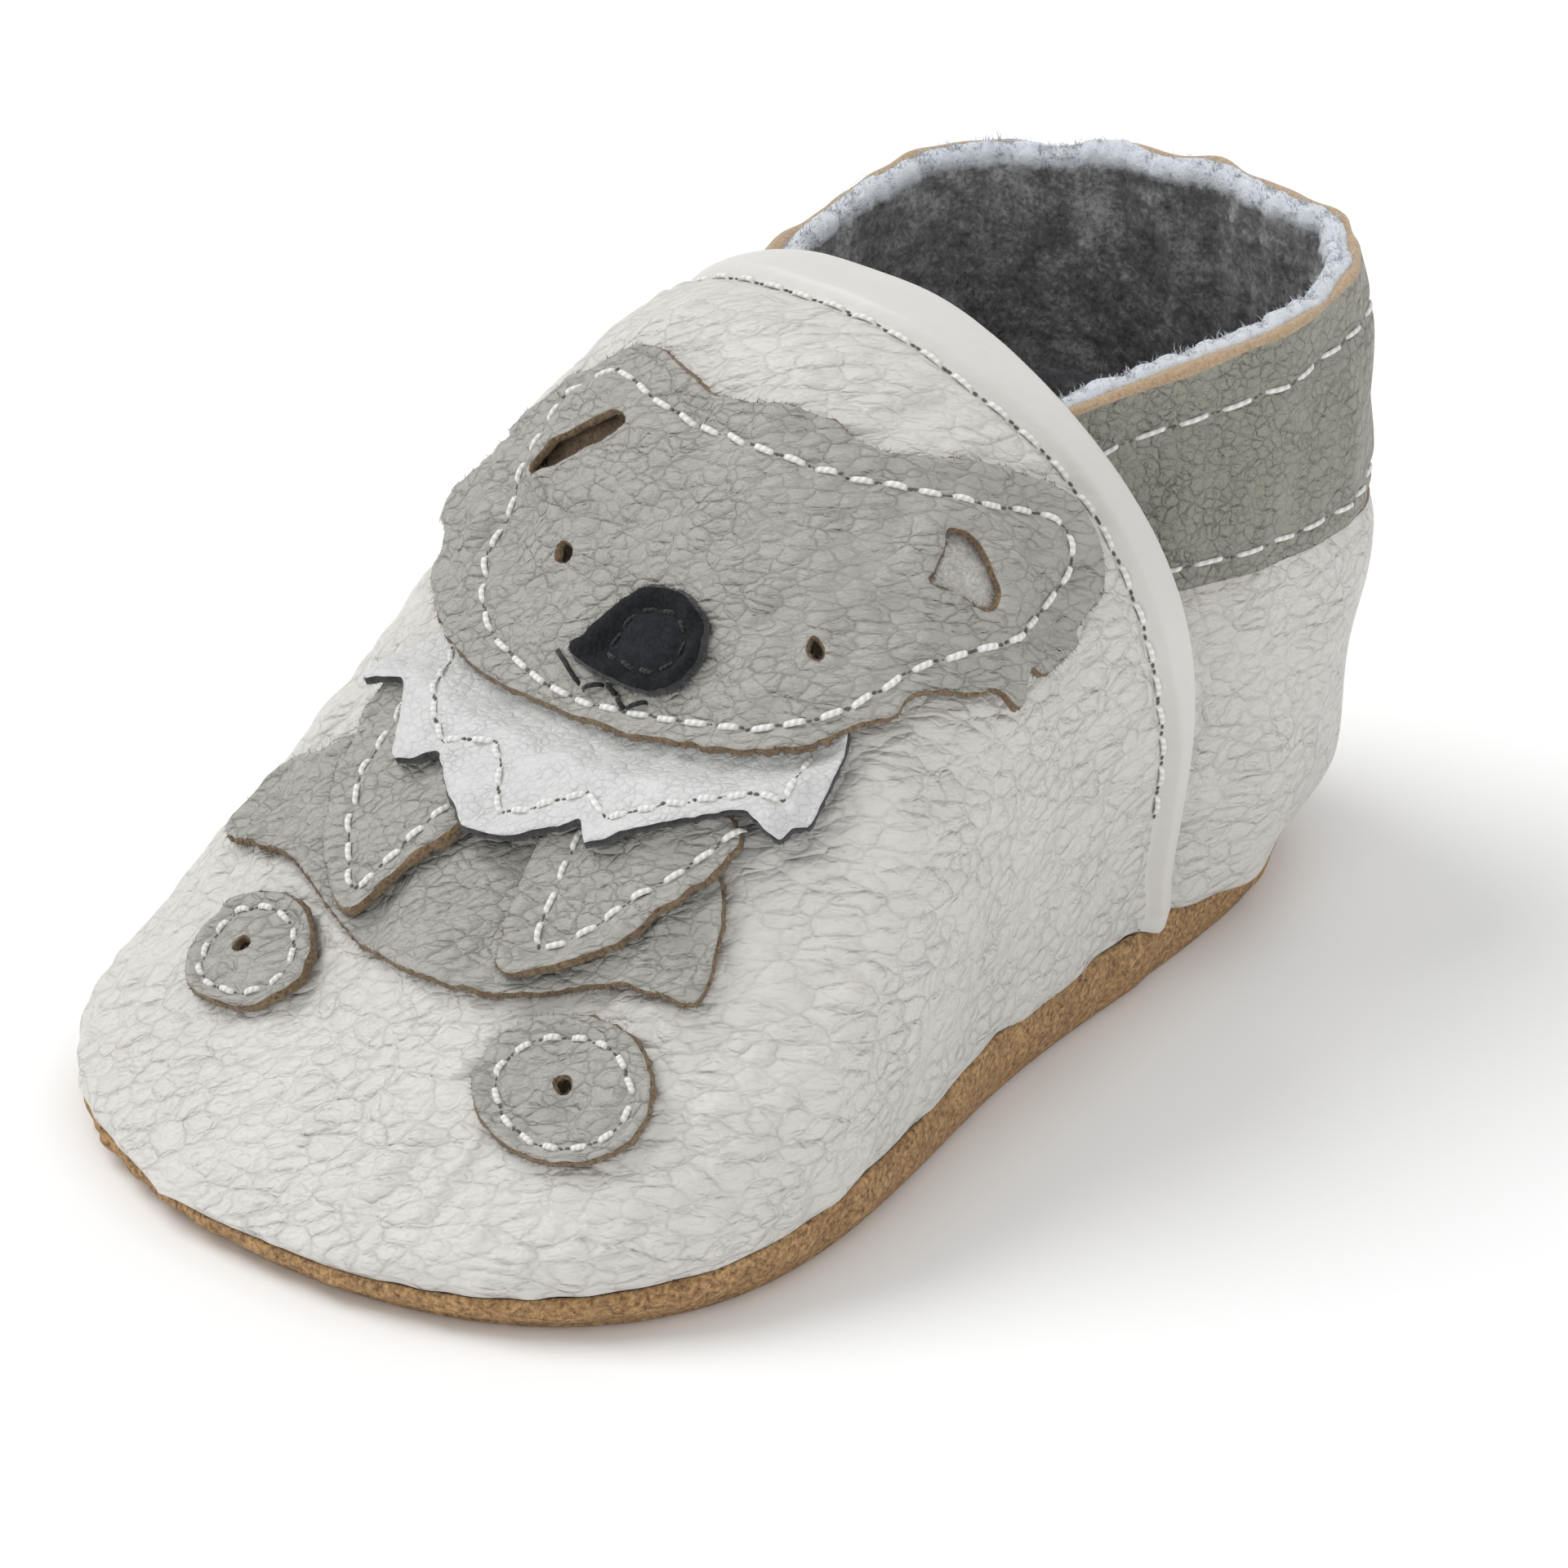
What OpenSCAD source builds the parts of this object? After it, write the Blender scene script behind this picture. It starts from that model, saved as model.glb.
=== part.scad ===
// Soft-soled baby bootie, left foot: suede sole, leather upper with a stitched animal
// face, and a plush-lined elasticated ankle. Millimetres. +X is the toe, +Y the wearer's
// left (outer side of a left foot) and +Z up; the flat of the sole lies at z = 0.

/* [Overall size] */
// Length of the seam line from heel to toe
shoe_len = 125; // [95:1:150]
// Greatest width across the ball of the foot
shoe_w = 70; // [54:1:84]
// Height of the top of the throat above the floor
shoe_h = 63; // [50:1:76]

/* [Leather and lining] */
// Thickness of the upper leather
leather_t = 1.2; // [0.8:0.1:1.6]
// Thickness of the sewn-on leather patches
patch_t = 0.9; // [0.6:0.1:1.1]
// Thickness of the plush and felt linings
lining_t = 0.9; // [0.6:0.1:1.2]
// Air left between neighbouring layers
layer_gap = 0.15; // [0.12:0.01:0.25]
// Extra height of the turned throat edge
roll_h = 0.5; // [0:0.1:0.8]

/* [Sole] */
// Thickness of the suede sole
sole_t = 1.5; // [1.2:0.1:2]
// Thickness of the foam pad under the foot
pad_t = 2.4; // [1.5:0.1:3]
// How far the flat of the sole lies inside the seam
sole_inset = 3; // [2:0.1:4]

/* [Ankle] */
// Height at which the ankle band meets the heel quarter
band_z = 37; // [34:1:40]
// Height of the elastic strip inside the ankle band
elastic_w = 7; // [5:0.5:9]
// Thickness of the elastic strip
elastic_t = 0.6; // [0.4:0.1:0.8]
// Outward fullness of the heel
heel_bulge = 5.5; // [3:0.5:7]

/* [Stitching] */
// Distance from one stitch to the next
stitch_pitch = 3.4; // [2.6:0.1:4.5]
// Thickness of the sewing thread
thread_d = 0.6; // [0.4:0.05:0.8]
// Diameter of the punched eye and foot holes
hole_d = 1.8; // [1.4:0.1:2.6]

/* [Hidden] */

eps = 0.001;
sx = shoe_len / 125;
sy = shoe_w / 70;
sz = shoe_h / 63;
function fit3(p) = [p[0] * sx, p[1] * sy, p[2] * sz];

// Control points of the line where the upper is sewn to the sole. u = 0 is the toe,
// u rises along the outer side, u = 0.5 is the heel.
SEAM = [for (p = [[64, -9, 3], [59.5, 25, 3], [36, 40, 5], [-2, 26.5, 8.5], [-25, 25.5, 6.5],
  [-52, 21, 5], [-66, 0, 5], [-54, -21, 5], [-28, -26, 6.5], [-2, -28, 7.5], [27, -39, 5],
  [53, -34.5, 3]]) fit3(p)];
// Control points of the ankle line; only its rear part, from u = 0.27 to 0.73, is used.
ANKLE = [for (p = [[0, 13, 50], [0, 13, 50], [0, 13, 50], [-6, 14, 51], [-18, 20.5, 56],
  [-53, 31, 59], [-66, 0, 60.5], [-53, -31, 59], [-18, -20.5, 56], [-6, -13.5, 51],
  [0, -13, 50], [0, -13, 50]]) fit3(p)];
// Control points of the ridge from the toe tip to the top of the throat.
RIDGE0 = [for (p = [[62, -9, 3], [60, -8, 5.5], [46, -5, 15], [20, 2, 37.5], [7, -2.5, 64],
  [-13.7, 0, 63.3]]) fit3(p)];
rn = len(RIDGE0) - 1;
RIDGE = concat([2 * RIDGE0[0] - RIDGE0[1]], RIDGE0, [2 * RIDGE0[rn] - RIDGE0[rn - 1]]);
throat_u = 0.327;

// Uniform cubic spline weights.
function blend4(p, q, r, s, f) = (pow(1 - f, 3) * p + (3 * pow(f, 3) - 6 * f * f + 4) * q
  + (-3 * pow(f, 3) + 3 * f * f + 3 * f + 1) * r + pow(f, 3) * s) / 6;
function ring(c, u) = let (n = len(c), x = (u - floor(u)) * n, i = floor(x))
  blend4(c[(i + n - 1) % n], c[i % n], c[(i + 1) % n], c[(i + 2) % n], x - i);
function ridge(t) = let (x = t * rn, i = min(floor(x), rn - 1))
  blend4(RIDGE[i], RIDGE[i + 1], RIDGE[i + 2], RIDGE[i + 3], x - i);
function seam(u) = ring(SEAM, u);
function seam_n(u) = let (d = seam(u + 0.004) - seam(u - 0.004), m = norm([d[0], d[1]]))
  [d[1] / m, -d[0] / m, 0];
function mix(a, b, t) = a + (b - a) * t;
function ease(a, b, t) = let (x = min(1, max(0, (t - a) / (b - a)))) x * x * (3 - 2 * x);
function unit(v) = v / norm(v);
function spow(c, e) = sign(c) * pow(abs(c), e);

// The vamp: arches from the outer seam over the ridge to the inner seam. v runs from the
// toe tip (0) to the throat (1), a from the outer seam (0 degrees) to the inner (180).
function vamp_pt(v, a) = let (l = seam(throat_u * v), m = seam(1 - throat_u * v),
  r = ridge(v), mid = (l + m) / 2, c = cos(a), s = max(0, sin(a)),
  w = min(1, norm(l - m) / 50), full = mix(-2, c > 0 ? 8 : 4, v),
  side = w * sy * full * s * pow(abs(c), 3) / 0.325 * sign(c))
  mid + (l - mid) * spow(c, mix(0.83, 0.63, v)) + (r - mid) * pow(s, mix(0.98, 0.745, v))
  + [0, side, 0];
function vamp_raw_n(v, a) = let (v1 = max(0.01, v - 0.01), v2 = min(1, v + 0.01),
  a1 = max(0, a - 2), a2 = min(180, a + 2))
  unit(cross(vamp_pt(v2, a) - vamp_pt(v1, a), vamp_pt(v, a2) - vamp_pt(v, a1)));
// Near the toe tip the arches close to a point, so the normal fades to one direction.
function vamp_n(v, a) = let (k = ease(0, 0.14, v)) k >= 1 ? vamp_raw_n(v, a)
  : unit(mix([1, 0, 0.05], vamp_raw_n(max(v, 0.03), a), k));
function on_vamp(v, a, o) = vamp_pt(v, a) + o * vamp_n(v, a);

// The rear: from the seam up to the ankle line, full at the heel and tucked in under the
// vamp at its front ends. u is the seam's own measure, t runs from the seam (0) to the top.
tuck = leather_t + lining_t + 2 * layer_gap + 0.25;
function rear_pt(u, t) = let (f = min(u, 1 - u), n = seam_n(u), b = seam(u) - n * tuck
  * (1 - ease(0.335, 0.375, f)), p = ring(ANKLE, u),
  k = mix(0.2, 1, ease(0.32, 0.42, f)) * heel_bulge)
  mix(b, p, t) + n * k * sin(180 * pow(t, 0.8));
function rear_n(u, t) = let (t1 = max(0, t - 0.02), t2 = min(1, t + 0.02))
  unit(cross(rear_pt(u + 0.005, t) - rear_pt(u - 0.005, t), rear_pt(u, t2) - rear_pt(u, t1)));
function on_rear(u, t, o) = rear_pt(u, t) + o * rear_n(u, t);
// The t at which the rear surface reaches height z.
function rear_t(u, z) = (z - seam(u)[2]) / (ring(ANKLE, u)[2] - seam(u)[2]);
// A rear layer between two heights, laid level so that its edges are flat.
function level(u, t, o, z) = let (q = on_rear(u, t, o)) [q[0], q[1], z];

// Centre of the finished shoe, so that it can be set over the origin.
probe = concat([for (u = [0 : 0.005 : 1]) seam(u)],
  [for (u = [0.3 : 0.01 : 0.7]) for (t = [0.1 : 0.1 : 1]) on_rear(u, t, 0)],
  [for (v = [0.05 : 0.05 : 1]) for (a = [0 : 10 : 180]) on_vamp(v, a, 0)]);
cx = (max([for (p = probe) p[0]]) + min([for (p = probe) p[0]])) / 2;
cy = (max([for (p = probe) p[1]]) + min([for (p = probe) p[1]])) / 2;

// Closed sheet between two grids of the same size, rows first.
module sheet(o, i) {
  nr = len(o); nc = len(o[0]); m = nr * nc;
  pts = concat([for (r = o) for (p = r) p], [for (r = i) for (p = r) p]);
  quads = [for (r = [0 : nr - 2]) for (c = [0 : nc - 2])
    [r * nc + c, r * nc + c + 1, (r + 1) * nc + c + 1, (r + 1) * nc + c]];
  edge = concat([for (c = [0 : nc - 1]) c], [for (r = [1 : nr - 1]) r * nc + nc - 1],
    [for (c = [nc - 2 : -1 : 0]) (nr - 1) * nc + c], [for (r = [nr - 2 : -1 : 1]) r * nc]);
  ne = len(edge);
  polyhedron(pts, concat(
    [for (q = quads) each [[q[0], q[1], q[2]], [q[0], q[2], q[3]]]],
    [for (q = quads) each [[q[2] + m, q[1] + m, q[0] + m], [q[3] + m, q[2] + m, q[0] + m]]],
    [for (k = [0 : ne - 1]) let (a = edge[k], b = edge[(k + 1) % ne])
      each [[b, a, a + m], [b, a + m, b + m]]]), convexity = 6);
}

// Closed ring of sheet: rows run outward from the hole, columns go round.
module ring_sheet(o, i) {
  nr = len(o); nc = len(o[0]); m = nr * nc;
  pts = concat([for (r = o) for (p = r) p], [for (r = i) for (p = r) p]);
  polyhedron(pts, concat(
    [for (r = [0 : nr - 2]) for (c = [0 : nc - 1]) let (d = (c + 1) % nc)
      each [[r * nc + c, r * nc + d, (r + 1) * nc + d], [r * nc + c, (r + 1) * nc + d,
        (r + 1) * nc + c]]],
    [for (r = [0 : nr - 2]) for (c = [0 : nc - 1]) let (d = (c + 1) % nc)
      each [[(r + 1) * nc + d + m, r * nc + d + m, r * nc + c + m], [(r + 1) * nc + c + m,
        (r + 1) * nc + d + m, r * nc + c + m]]],
    [for (c = [0 : nc - 1]) let (d = (c + 1) % nc) each [[d, c, c + m], [d, c + m, d + m]]],
    [for (c = [0 : nc - 1]) let (d = (c + 1) % nc, a = (nr - 1) * nc)
      each [[a + c, a + d, a + d + m], [a + c, a + d + m, a + c + m]]]), convexity = 4);
}

// Soft steps and the layer heights of the patches above the vamp.
layer = patch_t + layer_gap;
function chin(a) = lookup(a, HEAD_LOW);

// Head outline: lower and upper edges as v against the arch angle.
HEAD_LOW = [[33, 0.83], [35, 0.776], [38, 0.768], [43, 0.732], [47, 0.706], [51, 0.675],
  [56, 0.646], [60, 0.631], [65, 0.614], [71, 0.6], [78, 0.589], [85, 0.582], [91, 0.58],
  [97, 0.58], [102, 0.584], [107, 0.594], [111, 0.608], [115, 0.638], [119, 0.675],
  [123, 0.7]];
HEAD_TOP = [[33, 0.865], [35, 0.9], [38, 0.93], [43, 0.94], [47, 0.94], [51, 0.92],
  [56, 0.881], [60, 0.848], [65, 0.82], [71, 0.82], [78, 0.806], [85, 0.794], [91, 0.79],
  [97, 0.812], [102, 0.812], [107, 0.795], [111, 0.79], [115, 0.783], [119, 0.772],
  [123, 0.745]];
EAR_L = [0.73, 101, 0.018, 5];
EAR_R = [0.808, 47.5, 0.022, 5];
function near(v, a, e) = let (d = pow((v - e[0]) / e[2], 2) + pow((a - e[1]) / e[3], 2))
  1 - ease(3, 9, d);
function head_o(v, a) = layer_gap + layer * max(1 - ease(0.03, 0.07, v - chin(a)),
  near(v, a, EAR_L), near(v, a, EAR_R));
function bib_o(v, a) = layer_gap + 2 * layer
  * (1 - ease(-0.028, -0.006, v - chin(min(a, 107))));

// A patch between two edges, each a list of [v, a]; n is the number of strips across.
module patch(lo, hi, n, fo, t = patch_t) {
  g = [for (k = [0 : len(lo) - 1]) [for (j = [0 : n]) mix(lo[k], hi[k], j / n)]];
  sheet([for (r = g) [for (q = r) on_vamp(q[0], q[1], fo(q[0], q[1]) + t)]],
    [for (r = g) [for (q = r) on_vamp(q[0], q[1], fo(q[0], q[1]))]]);
}
function halved(l) = [for (k = [0 : 2 * len(l) - 2]) k % 2 == 0 ? l[k / 2]
  : (l[(k - 1) / 2] + l[(k + 1) / 2]) / 2];
function flip(l) = [for (k = [len(l) - 1 : -1 : 0]) l[k]];
function va(l) = flip([for (q = l) [q[1], q[0]]]);

// An oval patch [v, a, v radius, a radius].
function oval(e, s, k) = let (x = -cos(180 * k / 8), h = sqrt(max(0.02, 1 - x * x)))
  [e[0] + s * e[2] * h, e[1] - e[3] * x];

// Stitches: short bars laid along a path of points with matching normals.
module bar(p, q, n) {
  d = q - p; x = unit(d); z = unit(n - (n * x) * x); y = cross(z, x); c = (p + q) / 2;
  multmatrix([[x[0], y[0], z[0], c[0]], [x[1], y[1], z[1], c[1]], [x[2], y[2], z[2], c[2]],
    [0, 0, 0, 1]])
    translate([-norm(d) / 2, -thread_d / 2, 0]) cube([norm(d), thread_d, thread_d]);
}
// path: list of [point, normal] pairs.
module sew(path) {
  for (k = [0 : len(path) - 2]) {
    p = path[k]; q = path[k + 1];
    n = max(1, round(norm(q[0] - p[0]) / stitch_pitch));
    for (j = [0 : n - 1])
      bar(mix(p[0], q[0], (j + 0.16) / n), mix(p[0], q[0], (j + 0.84) / n), p[1] + q[1]);
  }
}
function sewn(l, o) = [for (q = l) [on_vamp(q[0], q[1], o(q[0], q[1])), vamp_n(q[0], q[1])]];
lift = layer_gap;

// ---------------------------------------------------------------- sole
module outsole() color([0.72, 0.56, 0.37]) {
  nu = 72;
  rings = [for (s = [[sole_inset, 0, 0], [1.5, 0.8, 0], [0.6, 0.45, 1], [0.05, -lift, 2],
      [leather_t + 0.1, -lift - 0.35, 2], [leather_t + 1, 0.6, 1], [sole_inset + 0.8, sole_t, 0]])
    [for (k = [0 : nu - 1]) let (u = k / nu, p = seam(u) - seam_n(u) * s[0])
      [p[0], p[1], s[2] == 0 ? s[1] : s[2] == 1 ? mix(sole_t, seam(u)[2], s[1]) : p[2] + s[1]]]];
  nr = len(rings);
  polyhedron([for (r = rings) for (p = r) p], concat(
    [[for (k = [0 : nu - 1]) k]],
    [for (r = [0 : nr - 2]) for (c = [0 : nu - 1]) let (d = (c + 1) % nu)
      each [[(r + 1) * nu + d, r * nu + d, r * nu + c], [(r + 1) * nu + c,
        (r + 1) * nu + d, r * nu + c]]],
    [[for (k = [nu - 1 : -1 : 0]) (nr - 1) * nu + k]]), convexity = 4);
}
function inner_outline(inset) = [for (k = [0 : 47])
  let (u = k / 48, p = seam(u) - seam_n(u) * inset) [p[0], p[1]]];
module sole_padding() color([0.93, 0.9, 0.8])
  translate([0, 0, sole_t + lift]) linear_extrude(height = pad_t)
    polygon(inner_outline(5.6));
module insole_sock() color([0.42, 0.43, 0.46])
  translate([0, 0, sole_t + pad_t + 2 * lift]) linear_extrude(height = lining_t)
    polygon(inner_outline(6.2));

// ---------------------------------------------------------------- upper
VV = concat([0.004], [for (k = [1 : 23]) k * 0.04], [0.945, 0.96, 0.975, 0.99, 1]);
AA = [for (k = [0 : 30]) k * 6];
function roll(v) = roll_h * (1 - pow(min(1, abs(v - 0.978) / 0.024), 2));
module vamp() color([0.88, 0.87, 0.85])
  sheet([for (v = VV) [for (a = AA) on_vamp(v, a, max(0, roll(v)))]],
    [for (v = VV) [for (a = AA) on_vamp(v, a, -leather_t)]]);
module vamp_lining() color([0.42, 0.43, 0.46]) {
  vv = [for (k = [0 : 18]) mix(0.07, 0.985, k / 18)];
  aa = [for (k = [0 : 18]) mix(5, 175, k / 18)];
  sheet([for (v = vv) [for (a = aa) on_vamp(v, a, -leather_t - lift)]],
    [for (v = vv) [for (a = aa) on_vamp(v, a, -leather_t - lift - lining_t)]]);
}
// A rear layer from u0 to 1-u0 between heights z0 (or the seam) and z1 (or the top).
module rear_layer(u0, z0, z1, o, t, nu, nt) {
  function tt(u, k) = mix(z0 > 0 ? rear_t(u, z0) : 0.004, z1 > 0 ? rear_t(u, z1) : 1, k / nt);
  function pt(u, k, d) = let (q = on_rear(u, tt(u, k), d))
    k == 0 && z0 > 0 ? [q[0], q[1], z0] : k == nt && z1 > 0 ? [q[0], q[1], z1] : q;
  us = [for (k = [0 : nu]) mix(u0, 1 - u0, k / nu)];
  sheet([for (u = us) [for (k = [0 : nt]) pt(u, k, o)]],
    [for (u = us) [for (k = [0 : nt]) pt(u, k, o - t)]]);
}
lining_o = -leather_t - elastic_t - 2 * lift;
band_z0 = band_z * sz;
elastic_z = (band_z + 13.5) * sz;
module heel_quarter() color([0.88, 0.87, 0.85])
  rear_layer(0.28, 0, band_z0, 0, leather_t, 40, 9);
module quarter_lining() color([0.42, 0.43, 0.46])
  rear_layer(0.3, 0, band_z0, lining_o, lining_t, 36, 7);
module collar_band() color([0.62, 0.62, 0.56])
  rear_layer(0.295, band_z0 + 0.3, 0, 0, leather_t, 40, 5);
module collar_lining() color([0.42, 0.43, 0.46])
  rear_layer(0.305, band_z0 + 0.3, 0, lining_o, lining_t, 36, 5);
module ankle_elastic() color([0.95, 0.95, 0.93])
  rear_layer(0.34, elastic_z - elastic_w / 2, elastic_z + elastic_w / 2,
    -leather_t - lift, elastic_t, 32, 2);

// ---------------------------------------------------------------- patches
module head_patch() color([0.71, 0.7, 0.67]) difference() {
  patch(halved(va(HEAD_LOW)), halved(va(HEAD_TOP)), 9, function(v, a) head_o(v, a));
  for (e = [[0.659, 96], [0.685, 62]]) hole_at(e, hole_d);
  for (e = [EAR_L, EAR_R]) hole_at(e, 3.2);
}
module hole_at(e, d) {
  p = on_vamp(e[0], e[1], -0.2); z = vamp_n(e[0], e[1]); x = unit(cross([0, 1, 0], z));
  y = cross(z, x);
  multmatrix([[x[0], y[0], z[0], p[0]], [x[1], y[1], z[1], p[1]], [x[2], y[2], z[2], p[2]],
    [0, 0, 0, 1]]) cylinder(h = 4, d = d);
}
NOSE = [0.636, 85, 0.028, 6.3];
module oval_patch(e, fo, t) patch([for (k = [0 : 8]) oval(e, -1, 8 - k)],
  [for (k = [0 : 8]) oval(e, 1, 8 - k)], 4, fo, t);
module nose_patch() color([0.1, 0.1, 0.11])
  oval_patch(NOSE, function(v, a) head_o(v, a) + patch_t + lift, patch_t);
module ear_inset_left() color([0.9, 0.9, 0.88])
  oval_patch(EAR_L, function(v, a) layer_gap, patch_t);
module ear_inset_right() color([0.9, 0.9, 0.88])
  oval_patch(EAR_R, function(v, a) layer_gap, patch_t);
BIB_LOW = [[54, 0.606], [60, 0.592], [67, 0.565], [73, 0.545], [78, 0.527], [81, 0.537],
  [86, 0.517], [90, 0.503], [94, 0.522], [98, 0.534], [103, 0.519], [109, 0.545],
  [114, 0.57], [119, 0.567], [125, 0.58]];
BIB_TOP = [[54, 0.668], [60, 0.652], [67, 0.632], [73, 0.62], [78, 0.61], [81, 0.608],
  [86, 0.604], [90, 0.602], [94, 0.602], [98, 0.603], [103, 0.607], [109, 0.622],
  [114, 0.628], [119, 0.615], [125, 0.595]];
module bib_patch() color([0.93, 0.93, 0.91])
  patch(halved(va(BIB_LOW)), halved(va(BIB_TOP)), 12, function(v, a) bib_o(v, a));
BODY_LOW = [[50, 0.51], [54, 0.492], [60, 0.484], [66, 0.467], [73, 0.442], [82, 0.424],
  [90, 0.42], [96, 0.428], [104, 0.442], [112, 0.452], [120, 0.453], [128, 0.455],
  [134, 0.457]];
BODY_TOP = [[50, 0.53], [54, 0.553], [60, 0.55], [66, 0.545], [73, 0.54], [82, 0.53],
  [90, 0.525], [96, 0.53], [104, 0.535], [112, 0.535], [120, 0.525], [128, 0.515],
  [134, 0.485]];
module body_patch() color([0.71, 0.7, 0.67])
  patch(va(BODY_LOW), va(BODY_TOP), 4, function(v, a) layer_gap);
ARM_L = [[[0.428, 93], [0.465, 92], [0.5, 91], [0.53, 91], [0.548, 91.5]],
  [[0.43, 95], [0.463, 106], [0.513, 115], [0.54, 118], [0.556, 117]]];
ARM_R = [[[0.448, 75.5], [0.473, 70], [0.519, 64], [0.545, 61.5], [0.57, 60], [0.586, 59.5]],
  [[0.45, 78], [0.475, 81], [0.5, 84], [0.515, 85], [0.535, 84], [0.548, 83]]];
module arm_patch_left() color([0.71, 0.7, 0.67])
  patch(ARM_L[0], ARM_L[1], 5, function(v, a) layer_gap + layer);
module arm_patch_right() color([0.71, 0.7, 0.67])
  patch(ARM_R[0], ARM_R[1], 5, function(v, a) layer_gap + layer);
FOOT_L = [0.383, 106, 0.045, 11];
FOOT_R = [0.414, 55.5, 0.047, 13.5];
function disc_pt(e, r, k) = [e[0] + e[2] * r * cos(15 * k), e[1] + e[3] * r * sin(15 * k)];
module foot_disc(e) color([0.71, 0.7, 0.67]) {
  g = [for (r = [0.16, 0.5, 0.8, 1]) [for (k = [0 : 23]) disc_pt(e, r, k)]];
  ring_sheet([for (r = g) [for (q = r) on_vamp(q[0], q[1], layer)]],
    [for (r = g) [for (q = r) on_vamp(q[0], q[1], layer_gap)]]);
}
module foot_disc_left() foot_disc(FOOT_L);
module foot_disc_right() foot_disc(FOOT_R);

// ---------------------------------------------------------------- stitching
thread = [0.93, 0.92, 0.88];
module throat_stitches() color(thread)
  sew(sewn([for (k = [0 : 40]) let (a = 8 + 4.1 * k)
    [0.957 - 0.03 * ease(50, 90, min(a, 180 - a)), a]], function(v, a) max(0, roll(v)) + lift));
module rear_stitches(z, u0) sew([for (k = [0 : 34]) let (u = mix(u0, 1 - u0, k / 34),
  t = rear_t(u, z)) [on_rear(u, t, lift), rear_n(u, t)]]);
module band_top_stitches() color(thread) rear_stitches(54.5 * sz - 2.5, 0.34);
module band_bottom_stitches() color(thread) rear_stitches(band_z0 + 2.4, 0.34);
HEAD_ST = [[0.92, 44], [0.899, 48], [0.861, 51], [0.832, 56], [0.81, 61], [0.792, 66],
  [0.78, 70], [0.768, 78], [0.764, 84], [0.762, 90], [0.774, 94], [0.788, 102], [0.775, 107],
  [0.745, 112], [0.707, 112], [0.677, 110], [0.648, 109], [0.626, 105], [0.604, 101],
  [0.596, 97], [0.592, 92], [0.594, 85], [0.606, 77], [0.622, 67], [0.648, 59],
  [0.675, 54.5], [0.703, 50.5], [0.719, 48.5], [0.762, 42], [0.81, 38], [0.853, 37],
  [0.9, 39.5], [0.92, 44]];
module head_stitches() color(thread)
  sew(sewn(HEAD_ST, function(v, a) head_o(v, a) + patch_t + 2.5 * lift));
module nose_stitches() color([0.12, 0.12, 0.13])
  sew(sewn([for (k = [0 : 12]) let (f = 30 * k) [NOSE[0] + 0.6 * NOSE[2] * cos(f),
    NOSE[1] + 0.6 * NOSE[3] * sin(f)]], function(v, a) head_o(v, a) + 2 * (patch_t + lift)));
module mouth_stitches() color([0.05, 0.05, 0.05])
  sew(sewn([[0.61, 93], [0.598, 90], [0.604, 87], [0.599, 84.5], [0.606, 81]],
    function(v, a) head_o(v, a) + patch_t + lift));
BIB_ST = [[[0.585, 115], [0.578, 110], [0.55, 103], [0.555, 97]],
  [[0.545, 93], [0.523, 90.5], [0.53, 88], [0.553, 82]], [[0.543, 78], [0.575, 69],
  [0.602, 62]]];
module bib_stitches() color(thread) for (l = BIB_ST)
  sew(sewn(halved(l), function(v, a) bib_o(v, a) + patch_t + 2 * lift));
ARM_ST = [[[0.532, 111], [0.505, 109], [0.478, 103.5], [0.445, 96], [0.475, 94.5],
  [0.5, 94]], [[0.512, 81.5], [0.49, 79], [0.465, 76], [0.482, 73], [0.52, 67.5],
  [0.553, 64]]];
module arm_stitches() color(thread) for (l = ARM_ST)
  sew(sewn(halved(l), function(v, a) layer_gap + layer + patch_t + lift));
module foot_stitches() color(thread) for (e = [FOOT_L, FOOT_R])
  sew(sewn([for (k = [0 : 12]) disc_pt(e, 0.76, 2 * k)], function(v, a) layer + lift));

translate([-cx, -cy, 0]) {
  outsole();
  sole_padding();
  insole_sock();
  vamp();
  vamp_lining();
  heel_quarter();
  quarter_lining();
  collar_band();
  collar_lining();
  ankle_elastic();
  head_patch();
  nose_patch();
  ear_inset_left();
  ear_inset_right();
  bib_patch();
  body_patch();
  arm_patch_left();
  arm_patch_right();
  foot_disc_left();
  foot_disc_right();
  throat_stitches();
  band_top_stitches();
  band_bottom_stitches();
  head_stitches();
  nose_stitches();
  mouth_stitches();
  bib_stitches();
  arm_stitches();
  foot_stitches();
}
echo(offset = [cx, cy]);
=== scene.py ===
"""Soft-soled baby bootie: leather upper with a stitched animal face, suede sole, plush ankle.

Lengths are worked out in millimetres on the shoe's own last and put down in metres. The
toe points along +X, the wearer's left is +Y and the flat of the sole lies at z = 0.
"""
import logging
import math
from dataclasses import dataclass, field
from enum import Enum
from typing import Callable, Iterable, Optional, Sequence

import bpy
import numpy as np
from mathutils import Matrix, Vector
from mathutils.geometry import delaunay_2d_cdt


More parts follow.
